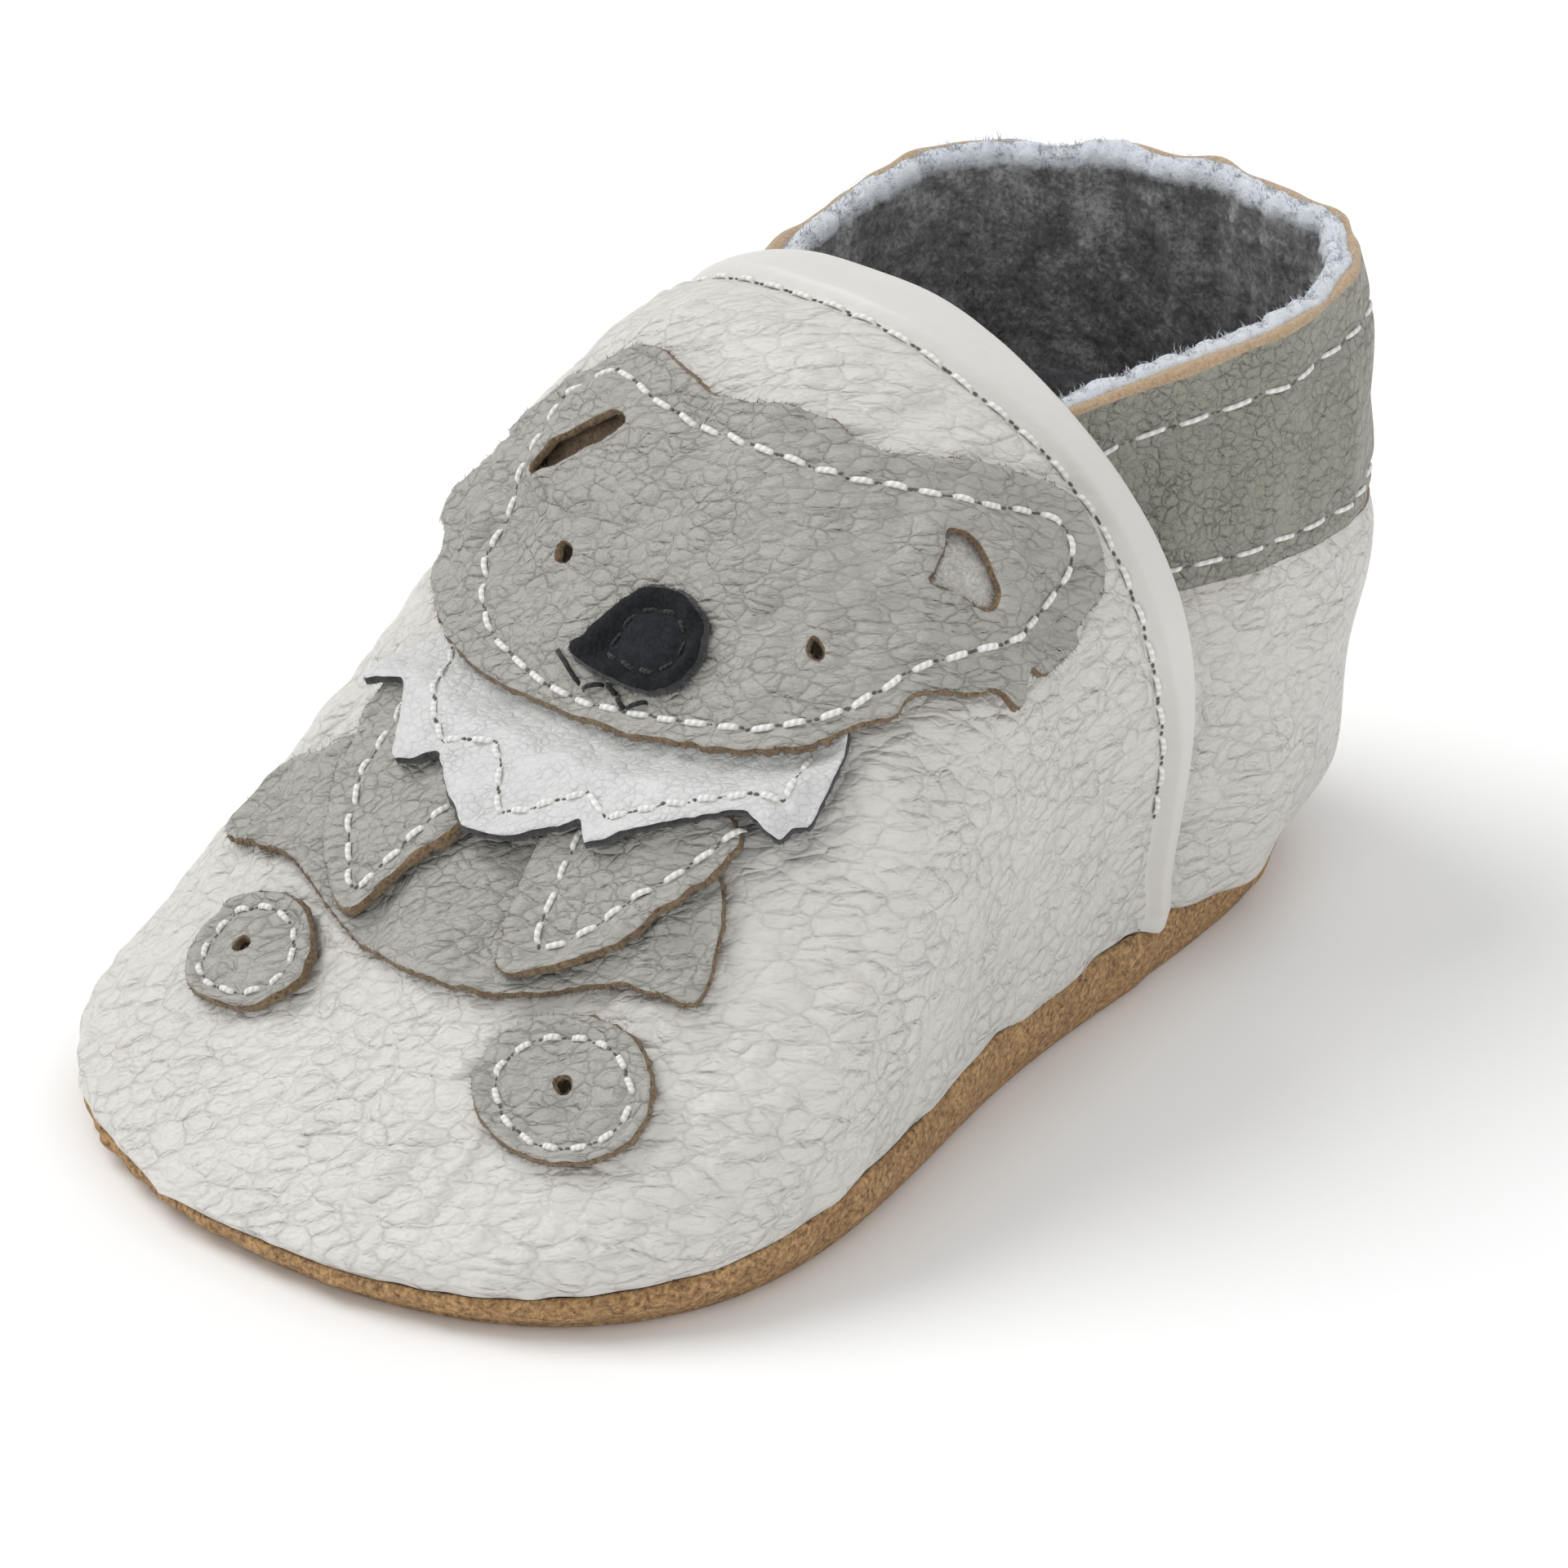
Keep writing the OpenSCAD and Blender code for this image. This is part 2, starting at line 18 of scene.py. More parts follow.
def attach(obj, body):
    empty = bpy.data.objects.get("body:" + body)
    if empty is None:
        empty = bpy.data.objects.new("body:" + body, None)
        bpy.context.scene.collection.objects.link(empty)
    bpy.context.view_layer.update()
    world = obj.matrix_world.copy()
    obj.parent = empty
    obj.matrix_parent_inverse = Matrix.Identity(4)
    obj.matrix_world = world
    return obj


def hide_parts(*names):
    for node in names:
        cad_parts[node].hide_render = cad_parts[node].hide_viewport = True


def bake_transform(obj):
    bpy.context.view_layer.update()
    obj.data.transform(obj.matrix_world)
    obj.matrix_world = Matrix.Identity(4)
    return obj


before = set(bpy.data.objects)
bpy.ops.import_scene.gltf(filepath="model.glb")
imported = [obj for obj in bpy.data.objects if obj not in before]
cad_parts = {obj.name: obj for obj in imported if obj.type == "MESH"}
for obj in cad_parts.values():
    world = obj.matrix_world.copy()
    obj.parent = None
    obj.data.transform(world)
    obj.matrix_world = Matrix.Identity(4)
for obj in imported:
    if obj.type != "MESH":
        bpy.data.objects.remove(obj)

logging.basicConfig(level=logging.INFO, format="%(message)s")
log = logging.getLogger("bootie")

Array = np.ndarray
Path = Sequence[tuple[float, float]]
Colour = tuple[float, float, float]
Socket = bpy.types.NodeSocket

MM = 0.001
SHOE, COLLAR = "shoe", "collar"
# thickness of the upper's leather, of a patch and of the plush, and the air between layers
LEATHER, PATCH, LINING, GAP = 1.2, 1.1, 0.9, 0.15
LAYER = PATCH + GAP
# the two ends of a mask that steers a blend of colours or a depth
LOW, HIGH = (0.0, 0.0, 0.0), (1.0, 1.0, 1.0)


# --- small formulas
def ease(a: float, b: float, t: Array) -> Array:
    """Smooth step from 0 at a to 1 at b: three x squared less two x cubed."""
    x = np.clip((np.asarray(t, float) - a) / (b - a), 0, 1)
    return x * x * (3 - 2 * x)


def unit(v: Array) -> Array:
    """Vectors of length one."""
    return v / (np.linalg.norm(v, axis=-1, keepdims=True) + 1e-12)


def together(*measures: object) -> list[Array]:
    """Measures as arrays of one shape."""
    return np.broadcast_arrays(*(np.asarray(m, float) for m in measures))


def size(v: Array) -> Array:
    """Lengths of vectors."""
    return np.linalg.norm(v, axis=-1)


def place(ob: bpy.types.Object, node: str) -> None:
    """Rides a piece on the sole and hides the CAD node that it stands for."""
    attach(ob, SHOE)
    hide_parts(node)


def cubic(p: Array, q: Array, r: Array, s: Array, f: Array) -> Array:
    """Span of a uniform cubic B-spline: four neighbours weighted by cubics of the fraction.

    Args:
        p: control point before the span.
        q: control point that the span starts beside.
        r: control point that it ends beside.
        s: control point after it.
        f: fraction of the way along the span.

    Returns:
        One point per fraction.
    """
    f = f[..., None]
    return ((1 - f) ** 3 * p + (3 * f**3 - 6 * f**2 + 4) * q
            + (-3 * f**3 + 3 * f**2 + 3 * f + 1) * r + f**3 * s) / 6


def ring(ctrl: Array, u: Array) -> Array:
    """Closed cubic B-spline.

    Args:
        ctrl: control points, one a row.
        u: measure along the line, which goes round once from 0 to 1.

    Returns:
        One point per measure.
    """
    n = len(ctrl)
    x = np.mod(u, 1.0) * n
    i = np.floor(x).astype(int)
    return cubic(ctrl[(i - 1) % n], ctrl[i % n], ctrl[(i + 1) % n], ctrl[(i + 2) % n], x - i)


def rail(ctrl: Array, t: Array) -> Array:
    """Open cubic B-spline, pinned to its ends by a mirrored control point past each.

    Args:
        ctrl: control points, one a row.
        t: measure along the line, from 0 to 1.

    Returns:
        One point per measure.
    """
    c = np.vstack([2 * ctrl[0] - ctrl[1], ctrl, 2 * ctrl[-1] - ctrl[-2]])
    n = len(ctrl) - 1
    x = np.clip(t, 0, 1) * n
    i = np.minimum(np.floor(x).astype(int), n - 1)
    return cubic(c[i], c[i + 1], c[i + 2], c[i + 3], x - i)


def ripple(p: Array, wavelength: float, seed: int, waves: int = 26) -> Array:
    """Smooth random relief of unit spread: a sum of plane waves in seeded directions.

    Args:
        p: points in millimetres.
        wavelength: typical distance between crests, in millimetres.
        seed: number that fixes the pattern.
        waves: how many plane waves are added.

    Returns:
        One height per point.
    """
    rng = np.random.default_rng(seed)
    k = unit(rng.normal(size=(waves, 3))) * rng.uniform(0.7, 1.4, (waves, 1))
    phase = rng.uniform(0, 2 * math.pi, waves)
    return np.cos(p @ k.T * (2 * math.pi / wavelength) + phase).sum(-1) * math.sqrt(2 / waves)


def away(p: Array, path: Array, closed: bool = False) -> Array:
    """Distance to a polyline: the least distance to any of its segments.

    Args:
        p: points.
        path: points of the polyline.
        closed: whether a segment joins its last point to its first.

    Returns:
        One distance per point.
    """
    block = 64  # segments worked out together, to keep the arrays small
    a = path
    b = np.roll(path, -1, axis=0)
    if not closed:
        a, b = a[:-1], b[:-1]
    best = np.full(len(p), 1e9)
    for start in range(0, len(a), block):
        s, e = a[start:start + block], b[start:start + block]
        d = e - s
        t = np.clip(((p[:, None] - s) * d).sum(-1) / ((d * d).sum(-1) + 1e-12), 0, 1)
        best = np.minimum(best, size(p[:, None] - s - t[..., None] * d).min(1))
    return best


def rounded(path: Array, times: int, cut: float, closed: bool = True) -> Array:
    """Corners cut away again and again.

    Args:
        path: points of the line.
        times: how often the corners are cut.
        cut: fraction of each side at which the knife goes in.
        closed: whether the line closes.

    Returns:
        The rounded line's points.
    """
    p = np.asarray(path, float)
    for _ in range(times):
        q = np.roll(p, -1, axis=0) if closed else p[1:]
        r = p if closed else p[:-1]
        mid = np.stack([r + (q - r) * cut, q - (q - r) * cut], 1).reshape(-1, p.shape[1])
        p = mid if closed else np.vstack([p[:1], mid, p[-1:]])
    return p


def evenly(p: Array, step: float, closed: bool = True) -> Array:
    """The same line with its points evenly spaced.

    Args:
        p: points of the line.
        step: distance from point to point.
        closed: whether the line closes.

    Returns:
        The new points.
    """
    q = np.vstack([p, p[:1]]) if closed else p
    run = np.r_[0, np.cumsum(np.linalg.norm(np.diff(q, axis=0), axis=1))]
    n = max(3, int(round(run[-1] / step)))
    s = np.linspace(0, run[-1], n + 1)
    out = np.stack([np.interp(s, run, q[:, k]) for k in range(q.shape[1])], -1)
    return out[:-1] if closed else out


# --- the last
@dataclass
class Last:
    """The shape that the upper is pulled over, all sizes in millimetres.

    Attributes:
        seam_ctrl: control points of the line between upper and sole.
        ankle_ctrl: control points of the ankle's upper line.
        ridge_ctrl: control points of the vamp's top line, from toe to throat.
        throat_u: seam measure at which the throat's ends stand.
        heel_bulge: how far the heel wall swells at half height.
        tuck: how far the wall stands inside the vamp that laps over it.
        centre: middle in plan, which is set over the origin.
    """

    seam_ctrl: Array = field(default_factory=lambda: np.array([
        (64, -9, 3), (59.5, 25, 3), (36, 40, 5), (-2, 26.5, 8.5), (-25, 25.5, 6.5),
        (-52, 21, 5), (-66, 0, 5), (-54, -21, 5), (-28, -26, 6.5), (-2, -28, 7.5),
        (27, -39, 5), (53, -34.5, 3)], float))
    ankle_ctrl: Array = field(default_factory=lambda: np.array([
        (0, 13, 50), (0, 13, 50), (0, 13, 50), (-6, 14, 51), (-18, 20.5, 56), (-53, 31, 59),
        (-66, 0, 60.5), (-53, -31, 59), (-18, -20.5, 56), (-6, -13.5, 51), (0, -13, 50),
        (0, -13, 50)], float))
    ridge_ctrl: Array = field(default_factory=lambda: np.array([
        (62, -9, 3), (60, -8, 5.5), (46, -5, 15), (20, 2, 37.5), (7, -2.5, 64),
        (-13.7, 0, 63.3)], float))
    throat_u: float = 0.327
    heel_bulge: float = 5.5
    tuck: float = LEATHER + LINING + 2 * GAP + 0.25
    roll: float = 0.5
    centre: Array = field(default_factory=lambda: np.zeros(3))

    def __post_init__(self) -> None:
        """Finds the middle of the shoe in plan, which is set over the origin."""
        u, t = np.meshgrid(np.arange(0.3, 0.701, 0.01), np.arange(0.1, 1.01, 0.1))
        v, a = np.meshgrid(np.arange(0.05, 1.001, 0.05), np.arange(0, 181, 10))
        p = np.vstack([self.seam(np.arange(0, 1, 0.005)), self.rear(u, t).reshape(-1, 3),
                       self.vamp(v, a).reshape(-1, 3)])
        self.centre = (p.max(0) + p.min(0)) / 2 * (1, 1, 0)

    def seam(self, u: Array) -> Array:
        """Line where the upper meets the sole; 0 is the toe and 0.5 the heel."""
        return ring(self.seam_ctrl, u)

    def seam_out(self, u: Array) -> Array:
        """Level direction that points out of the seam line: its tangent turned by a quarter."""
        d = self.seam(u + 0.004) - self.seam(u - 0.004)
        return unit(np.stack([d[..., 1], -d[..., 0], 0 * d[..., 0]], -1))

    def vamp(self, v: Array, a: Array) -> Array:
        """Arches over the foot, from the outer seam over the ridge to the inner seam.

        An arch is its chord's middle, plus half the chord times a power of the cosine, plus
        the rise to the ridge times a power of the sine, plus some swelling to the side.

        Args:
            v: 0 at the toe tip, 1 at the throat.
            a: arch angle in degrees, 0 at the outer seam and 180 at the inner one.

        Returns:
            Points on the outside of the vamp leather.
        """
        v, a = together(v, np.radians(a))
        l, m = self.seam(self.throat_u * v), self.seam(1 - self.throat_u * v)
        mid, top = (l + m) / 2, rail(self.ridge_ctrl, v)
        c, s = np.cos(a), np.maximum(np.sin(a), 0)
        wide = np.minimum(1, size(l - m) / 50)
        full = -2 + (np.where(c > 0, 8, 4) + 2) * v
        across = (np.sign(c) * np.abs(c) ** (0.83 - 0.2 * v))[..., None]
        p = mid + (l - mid) * across + (top - mid) * (s ** (0.98 - 0.235 * v))[..., None]
        side = wide * full * s * np.abs(c) ** 3 / 0.325 * np.sign(c)
        return p + side[..., None] * np.array([0, 1, 0])

    def vamp_out(self, v: Array, a: Array) -> Array:
        """Outward normal of the vamp, fading to straight ahead at the toe tip.

        Args:
            v: 0 at the toe tip, 1 at the throat.
            a: arch angle in degrees.

        Returns:
            The cross product of the two tangents, made one long.
        """
        v, a = together(v, a)
        w = np.maximum(v, 0.03)
        v1, v2 = np.maximum(0.01, w - 0.01), np.minimum(1, w + 0.01)
        a1, a2 = np.maximum(0, a - 2), np.minimum(180, a + 2)
        n = unit(np.cross(self.vamp(v2, a) - self.vamp(v1, a),
                          self.vamp(w, a2) - self.vamp(w, a1)))
        k = ease(0, 0.14, v)[..., None]
        return unit(np.array([1, 0, 0.05]) * (1 - k) + n * k)

    def throat(self, a: Array) -> Array:
        """Where the throat's row of thread runs, against the arch angle."""
        line = np.array(sorted((q[1], q[0]) for q in THROAT))
        return np.interp(a, line[:, 0], line[:, 1])

    def relief(self, v: Array, a: Array) -> Array:
        """Height of the soft leather above the last.

        It is a sum of bell curves and ripples: the throat's roll and the groove of its
        thread, dents and folds, puckers and a tuck along the sole seam, and one hollow.

        Args:
            v: 0 at the toe tip, 1 at the throat.
            a: arch angle in degrees.

        Returns:
            One height per point, in millimetres.
        """
        v, a = together(v, a)
        p = self.vamp(v, a)
        ends = np.minimum(size(p - self.vamp(v, 0 * a)),
                          size(p - self.vamp(v, 0 * a + 180)))
        ridge_mm, girth_mm, deepest = 105, 38, -0.75
        mm = (v - self.throat(a)) * ridge_mm
        mid = (self.throat(a) + 1) / 2
        roll = self.roll * 2.2 * np.clip(1 - ((v - mid) / (1.012 - mid)) ** 2, 0, 1)
        roll = roll * ease(-0.1, 1.4, mm)
        groove = -0.3 * np.exp(-((mm / 0.8) ** 2)) * ease(3, 7, ends)
        dents = 0.30 * ripple(p, 21, 4) + 0.12 * ripple(p, 9, 5) * ease(2, 8, ends)
        folds = 0.12 * ripple(p * (1.0, 2.4, 2.4), 7.5, 8) * ease(0.1, 0.3, v)
        s = np.arctan2(p[..., 1], p[..., 0] - 10) * girth_mm
        pucker = 0.22 * np.exp(-ends / 3.4) * ease(0.0, 1.5, ends) * (
            np.cos(s * 2 * math.pi / 3.1 + 1.5 * np.sin(s / 5)) + 0.6 * ripple(p, 5, 11))
        tuck = -0.3 * np.exp(-((ends / 0.7) ** 2)) + 0.3 * np.exp(-(((ends - 3) / 2.2) ** 2))
        cheek = -0.5 * np.exp(-((v - 0.49) / 0.03) ** 2 - ((a - 46) / 7) ** 2)
        calm = ease(0.02, 0.12, v) * (1 - 0.95 * ease(-2.5, 1.0, mm))
        return np.maximum(roll + groove + (dents + folds + pucker + cheek) * calm
                          + tuck * ease(0.02, 0.1, v), deepest)

    def on_leather(self, v: Array, a: Array, lift: Array) -> Array:
        """Point at a height above the soft leather of the vamp."""
        return self.on_vamp(v, a, np.asarray(lift) + self.relief(v, a))

    def on_vamp(self, v: Array, a: Array, lift: Array) -> Array:
        """Point at a height above the vamp, in the finished shoe's frame."""
        return self.vamp(v, a) + np.asarray(lift)[..., None] * self.vamp_out(v, a) - self.centre

    def rear(self, u: Array, t: Array) -> Array:
        """Heel and ankle wall: straight line from seam to ankle plus a sine-shaped bulge.

        Args:
            u: seam measure.
            t: 0 at the seam, 1 at the ankle line.

        Returns:
            Points on the outside of the wall's leather.
        """
        u, t = together(u, t)
        f = np.minimum(u, 1 - u)
        n = self.seam_out(u)
        b = self.seam(u) - n * (self.tuck * (1 - ease(0.335, 0.375, f)))[..., None]
        p = ring(self.ankle_ctrl, u)
        k = (0.2 + 0.8 * ease(0.32, 0.42, f)) * self.heel_bulge
        bulge = k * np.sin(math.pi * np.clip(t, 0, 1) ** 0.8)
        return b + (p - b) * t[..., None] + n * bulge[..., None]

    def rear_out(self, u: Array, t: Array) -> Array:
        """Outward normal of the heel and ankle wall: its tangents' cross product."""
        t1, t2 = np.maximum(0, t - 0.02), np.minimum(1, t + 0.02)
        return unit(np.cross(self.rear(u + 0.005, t) - self.rear(u - 0.005, t),
                             self.rear(u, t2) - self.rear(u, t1)))

    def on_rear(self, u: Array, t: Array, lift: Array) -> Array:
        """Point at a height above the rear wall, in the finished shoe's frame."""
        return (self.rear(u, t) + np.asarray(lift)[..., None] * self.rear_out(u, t)
                - self.centre)

    def rear_t(self, u: Array, z: float) -> Array:
        """Where the rear wall reaches a height z."""
        b, p = self.seam(u)[..., 2], ring(self.ankle_ctrl, u)[..., 2]
        return (z - b) / (p - b)

    def nook(self, f: Array) -> Array:
        """Share of the step behind the vamp's side edge, where wall and sole close up."""
        return ease(0.322, 0.334, f) * (1 - ease(0.36, 0.4, f))

    def gathers(self, u: Array, t: Array) -> Array:
        """Puckers that the elastic draws up, and the wall's slim waist below them.

        Args:
            u: seam measure.
            t: 0 at the seam, 1 at the ankle line.

        Returns:
            Two cosines along the ankle, strongest at the heel, less a sine-shaped waist.
        """
        f = np.minimum(u, 1 - u)
        slim = -1.5 * np.sin(math.pi * np.clip(t, 0, 1)) ** 1.5 * ease(0.34, 0.42, f)
        wave = np.cos(u * 128 + 2.2 * np.sin(u * 37)) + 0.35 * np.cos(u * 233 + 1.0)
        return 0.62 * wave * ease(0.36, 0.43, f) * ease(0.62, 0.98, t) + slim


# --- finishes
class Recipe:
    """One node material under construction."""

    def __init__(self, name: str) -> None:
        """Starts an empty material with an output and a principled shader.

        Args:
            name: the material's name.
        """
        self.mat = bpy.data.materials.new(name)
        self.mat.use_nodes = True
        self.tree = self.mat.node_tree
        self.tree.nodes.clear()
        self.out = self.tree.nodes.new("ShaderNodeOutputMaterial")
        self.skin = self.tree.nodes.new("ShaderNodeBsdfPrincipled")
        self.link(self.skin.outputs[0], self.out.inputs[0])
        self.coords = self.tree.nodes.new("ShaderNodeTexCoord")

    def link(self, a: Socket, b: Socket) -> None:
        """Joins two sockets."""
        self.tree.links.new(a, b)

    def node(self, kind: str, sockets: Optional[dict] = None, **props: object) -> bpy.types.Node:
        """Adds a node.

        Args:
            kind: the node's class name.
            sockets: values or output sockets, by input name or number.
            props: the node's own settings.

        Returns:
            The new node.
        """
        n = self.tree.nodes.new(kind)
        for key, value in props.items():
            setattr(n, key, value)
        for key, value in (sockets or {}).items():
            if isinstance(value, Socket):
                self.link(value, n.inputs[key])
            else:
                n.inputs[key].default_value = value
        return n

    def math(self, op: str, a: object, b: object = 0.0) -> Socket:
        """One sum of two values."""
        return self.node("ShaderNodeMath", {0: a, 1: b}, operation=op).outputs[0]

    def noise(self, vector: Socket, size_mm: float, detail: float = 3.0, rough: float = 0.55
              ) -> Socket:
        """Cloudy pattern whose lumps are about size_mm across."""
        return self.node("ShaderNodeTexNoise", {"Vector": vector, "Scale": 1 / (size_mm * MM),
                         "Detail": detail, "Roughness": rough}).outputs[0]

    def cells(self, vector: Socket, size_mm: float, feature: str = "F1") -> Socket:
        """Cell pattern whose cells are about size_mm across."""
        return self.node("ShaderNodeTexVoronoi", {"Vector": vector, "Scale": 1 / (size_mm * MM)},
                         feature=feature).outputs["Distance"]

    def ramp(self, value: Socket, stops: Sequence[tuple[float, Colour]]) -> Socket:
        """Colour that follows a value.

        Args:
            value: what it follows.
            stops: values and the colours that they get.

        Returns:
            The colour's socket.
        """
        n = self.node("ShaderNodeValToRGB", {0: value})
        e = n.color_ramp.elements
        while len(e) < len(stops):
            e.new(0.5)
        for k, (at, colour) in enumerate(stops):
            e[k].position = at
            e[k].color = (*colour, 1)
        return n.outputs[0]

    def mix(self, factor: object, a: object, b: object) -> Socket:
        """Blend of two colours.

        Args:
            factor: share of the second one.
            a: first colour, or its socket.
            b: second colour, or its socket.

        Returns:
            The blend's socket.
        """
        n = self.node("ShaderNodeMix", data_type="RGBA")
        for key, value in ((0, factor), (6, a), (7, b)):
            if isinstance(value, Socket):
                self.link(value, n.inputs[key])
            else:
                n.inputs[key].default_value = (*value, 1) if isinstance(value, tuple) else value
        return n.outputs[2]

    def warped(self, vector: Socket, size_mm: float, shift_mm: float) -> Socket:
        """Coordinates pushed about by a cloudy pattern.

        Args:
            vector: the coordinates.
            size_mm: how wide the pattern's lumps are.
            shift_mm: how far they push.

        Returns:
            The new coordinates' socket.
        """
        n = self.node("ShaderNodeTexNoise", {"Vector": vector, "Scale": 1 / (size_mm * MM),
                                             "Detail": 2.0})
        c = self.node("ShaderNodeVectorMath", {0: n.outputs["Color"], 1: (0.5, 0.5, 0.5)},
                      operation="SUBTRACT")
        s = self.node("ShaderNodeVectorMath", {0: c.outputs[0]}, operation="SCALE")
        s.inputs["Scale"].default_value = 2 * shift_mm * MM
        return self.node("ShaderNodeVectorMath", {0: vector, 1: s.outputs[0]},
                         operation="ADD").outputs[0]

    def bump(self, height: Socket, depth_mm: float, strength: float = 1.0) -> None:
        """Relief on top of any relief already laid.

        Args:
            height: the pattern, from 0 for low to 1 for high.
            depth_mm: what the pattern's whole range stands for.
            strength: how much of it shows.
        """
        n = self.node("ShaderNodeBump", {"Height": height, "Distance": depth_mm * MM,
                                         "Strength": strength})
        old = self.skin.inputs["Normal"]
        if old.is_linked:
            self.link(old.links[0].from_socket, n.inputs["Normal"])
        self.link(n.outputs[0], old)

    def skin_set(self, **values: object) -> None:
        """Sets the shader's own sockets.

        Args:
            values: values or output sockets, by input name with _ for each space.
        """
        for key, value in values.items():
            socket = self.skin.inputs[key.replace("_", " ")]
            if isinstance(value, Socket):
                self.link(value, socket)
            else:
                socket.default_value = value


@dataclass(frozen=True)
class Leather:
    """Milled leather: soft pebbles parted by creases of uneven depth, with clouded colour and
    painted shade in the creases.

    Attributes:
        grain_turn: direction of the grain in plan, in degrees.
        grain_long: how much longer than wide the pebbles are.
    """

    name: str
    colour: Colour
    # colour of the painted shade in the creases
    crease: Colour
    pebble_mm: float = 1.5
    depth_mm: float = 0.3
    roughness: float = 0.5
    grain_turn: float = 133.0
    grain_long: float = 1.95
    sheen: float = 0.06

    def make(self) -> bpy.types.Material:
        """Builds the node material.

        Returns:
            The material.
        """
        r = Recipe(self.name)
        base = r.node("ShaderNodeMapping", {"Vector": r.coords.outputs["Object"],
                                            "Rotation": (0, 0, math.radians(self.grain_turn)),
                                            "Scale": (self.grain_long, 1.0, 0.9)},
                      vector_type="TEXTURE").outputs[0]
        size = self.pebble_mm
        at = r.warped(r.warped(base, 2.2 * size, 0.3 * size), 0.7 * size, 0.2 * size)
        edge = r.cells(at, size, "DISTANCE_TO_EDGE")
        wide = r.cells(r.warped(base, 3.0 * size, 0.6 * size), 3.1 * size, "DISTANCE_TO_EDGE")
        fine = r.cells(r.warped(base, 0.6 * size, 0.15 * size), 0.42 * size, "DISTANCE_TO_EDGE")
        pillow = r.math("SUBTRACT", 1.0, r.cells(at, size, "SMOOTH_F1"))
        dome = r.ramp(edge, [(0.0, LOW), (0.08, (0.36,) * 3), (0.2, (0.74,) * 3), (0.42, HIGH)])
        broad = r.ramp(wide, [(0.0, LOW), (0.1, (0.5,) * 3), (0.25, (0.85,) * 3), (0.5, HIGH)])
        small = r.ramp(fine, [(0.0, LOW), (0.2, HIGH)])
        patchy = r.noise(base, 2.4 * size, 3.0)
        cloud = r.noise(base, 15.0, 3.0)
        some = r.ramp(patchy, [(0.34, (0.4,) * 3), (0.58, HIGH)])
        line = r.ramp(edge, [(0.0, HIGH), (0.07, LOW)])
        # painted shade: the crease lines take the darker crease colour, in patches
        crease_shade = r.math("MULTIPLY", r.math("MULTIPLY", line, some), 0.65)
        body = r.mix(r.ramp(cloud, [(0.3, LOW), (0.7, (0.5,) * 3)]), self.colour,
                     tuple(c * 0.93 for c in self.colour))
        body = r.mix(crease_shade, body, self.crease)
        r.skin_set(Base_Color=body, Specular_IOR_Level=0.42, Sheen_Weight=self.sheen,
                   Sheen_Roughness=0.5, Roughness=r.math(
                       "ADD", r.math("MULTIPLY", patchy, 0.24), self.roughness - 0.12))
        r.bump(cloud, 1.0, 0.5)
        r.bump(patchy, 0.7 * self.depth_mm, 0.6)
        r.bump(broad, 0.55 * self.depth_mm, 0.7)
        r.bump(pillow, 1.5 * self.depth_mm, 0.8)
        r.bump(r.math("MULTIPLY", dome, some), 0.7 * self.depth_mm, 0.95)
        r.bump(small, 0.14 * self.depth_mm, 0.7)
        r.bump(r.noise(base, 0.16, 2.0), 0.02, 0.5)
        return r.mat


@dataclass(frozen=True)
class Suede:
    """Napped flesh side: light fibres with dark gaps, as specks of a given size and depth."""

    name: str
    light: Colour
    dark: Colour
    speck_mm: float = 0.5
    depth_mm: float = 0.25
    sheen: float = 0.25

    def make(self) -> bpy.types.Material:
        """Builds the node material.

        Returns:
            The material.
        """
        r = Recipe(self.name)
        at = r.coords.outputs["Object"]
        nap = r.noise(r.warped(at, 1.2, 0.3), self.speck_mm, 5.0, 0.7)
        lumps = r.noise(at, 6.0 * self.speck_mm, 3.0, 0.6)
        holes = r.cells(r.warped(at, 0.8, 0.2), 1.6 * self.speck_mm)
        body = r.mix(r.ramp(nap, [(0.34, LOW), (0.62, HIGH)]), self.dark, self.light)
        body = r.mix(r.ramp(lumps, [(0.3, (0.3,) * 3), (0.7, LOW)]), body, self.dark)
        body = r.mix(r.ramp(holes, [(0.05, (0.55,) * 3), (0.2, LOW)]), body, self.dark)
        r.skin_set(Base_Color=body, Roughness=0.92, Specular_IOR_Level=0.18,
                   Sheen_Weight=self.sheen, Sheen_Roughness=0.6)
        r.bump(lumps, 0.3, 0.6)
        r.bump(nap, self.depth_mm, 0.9)
        return r.mat


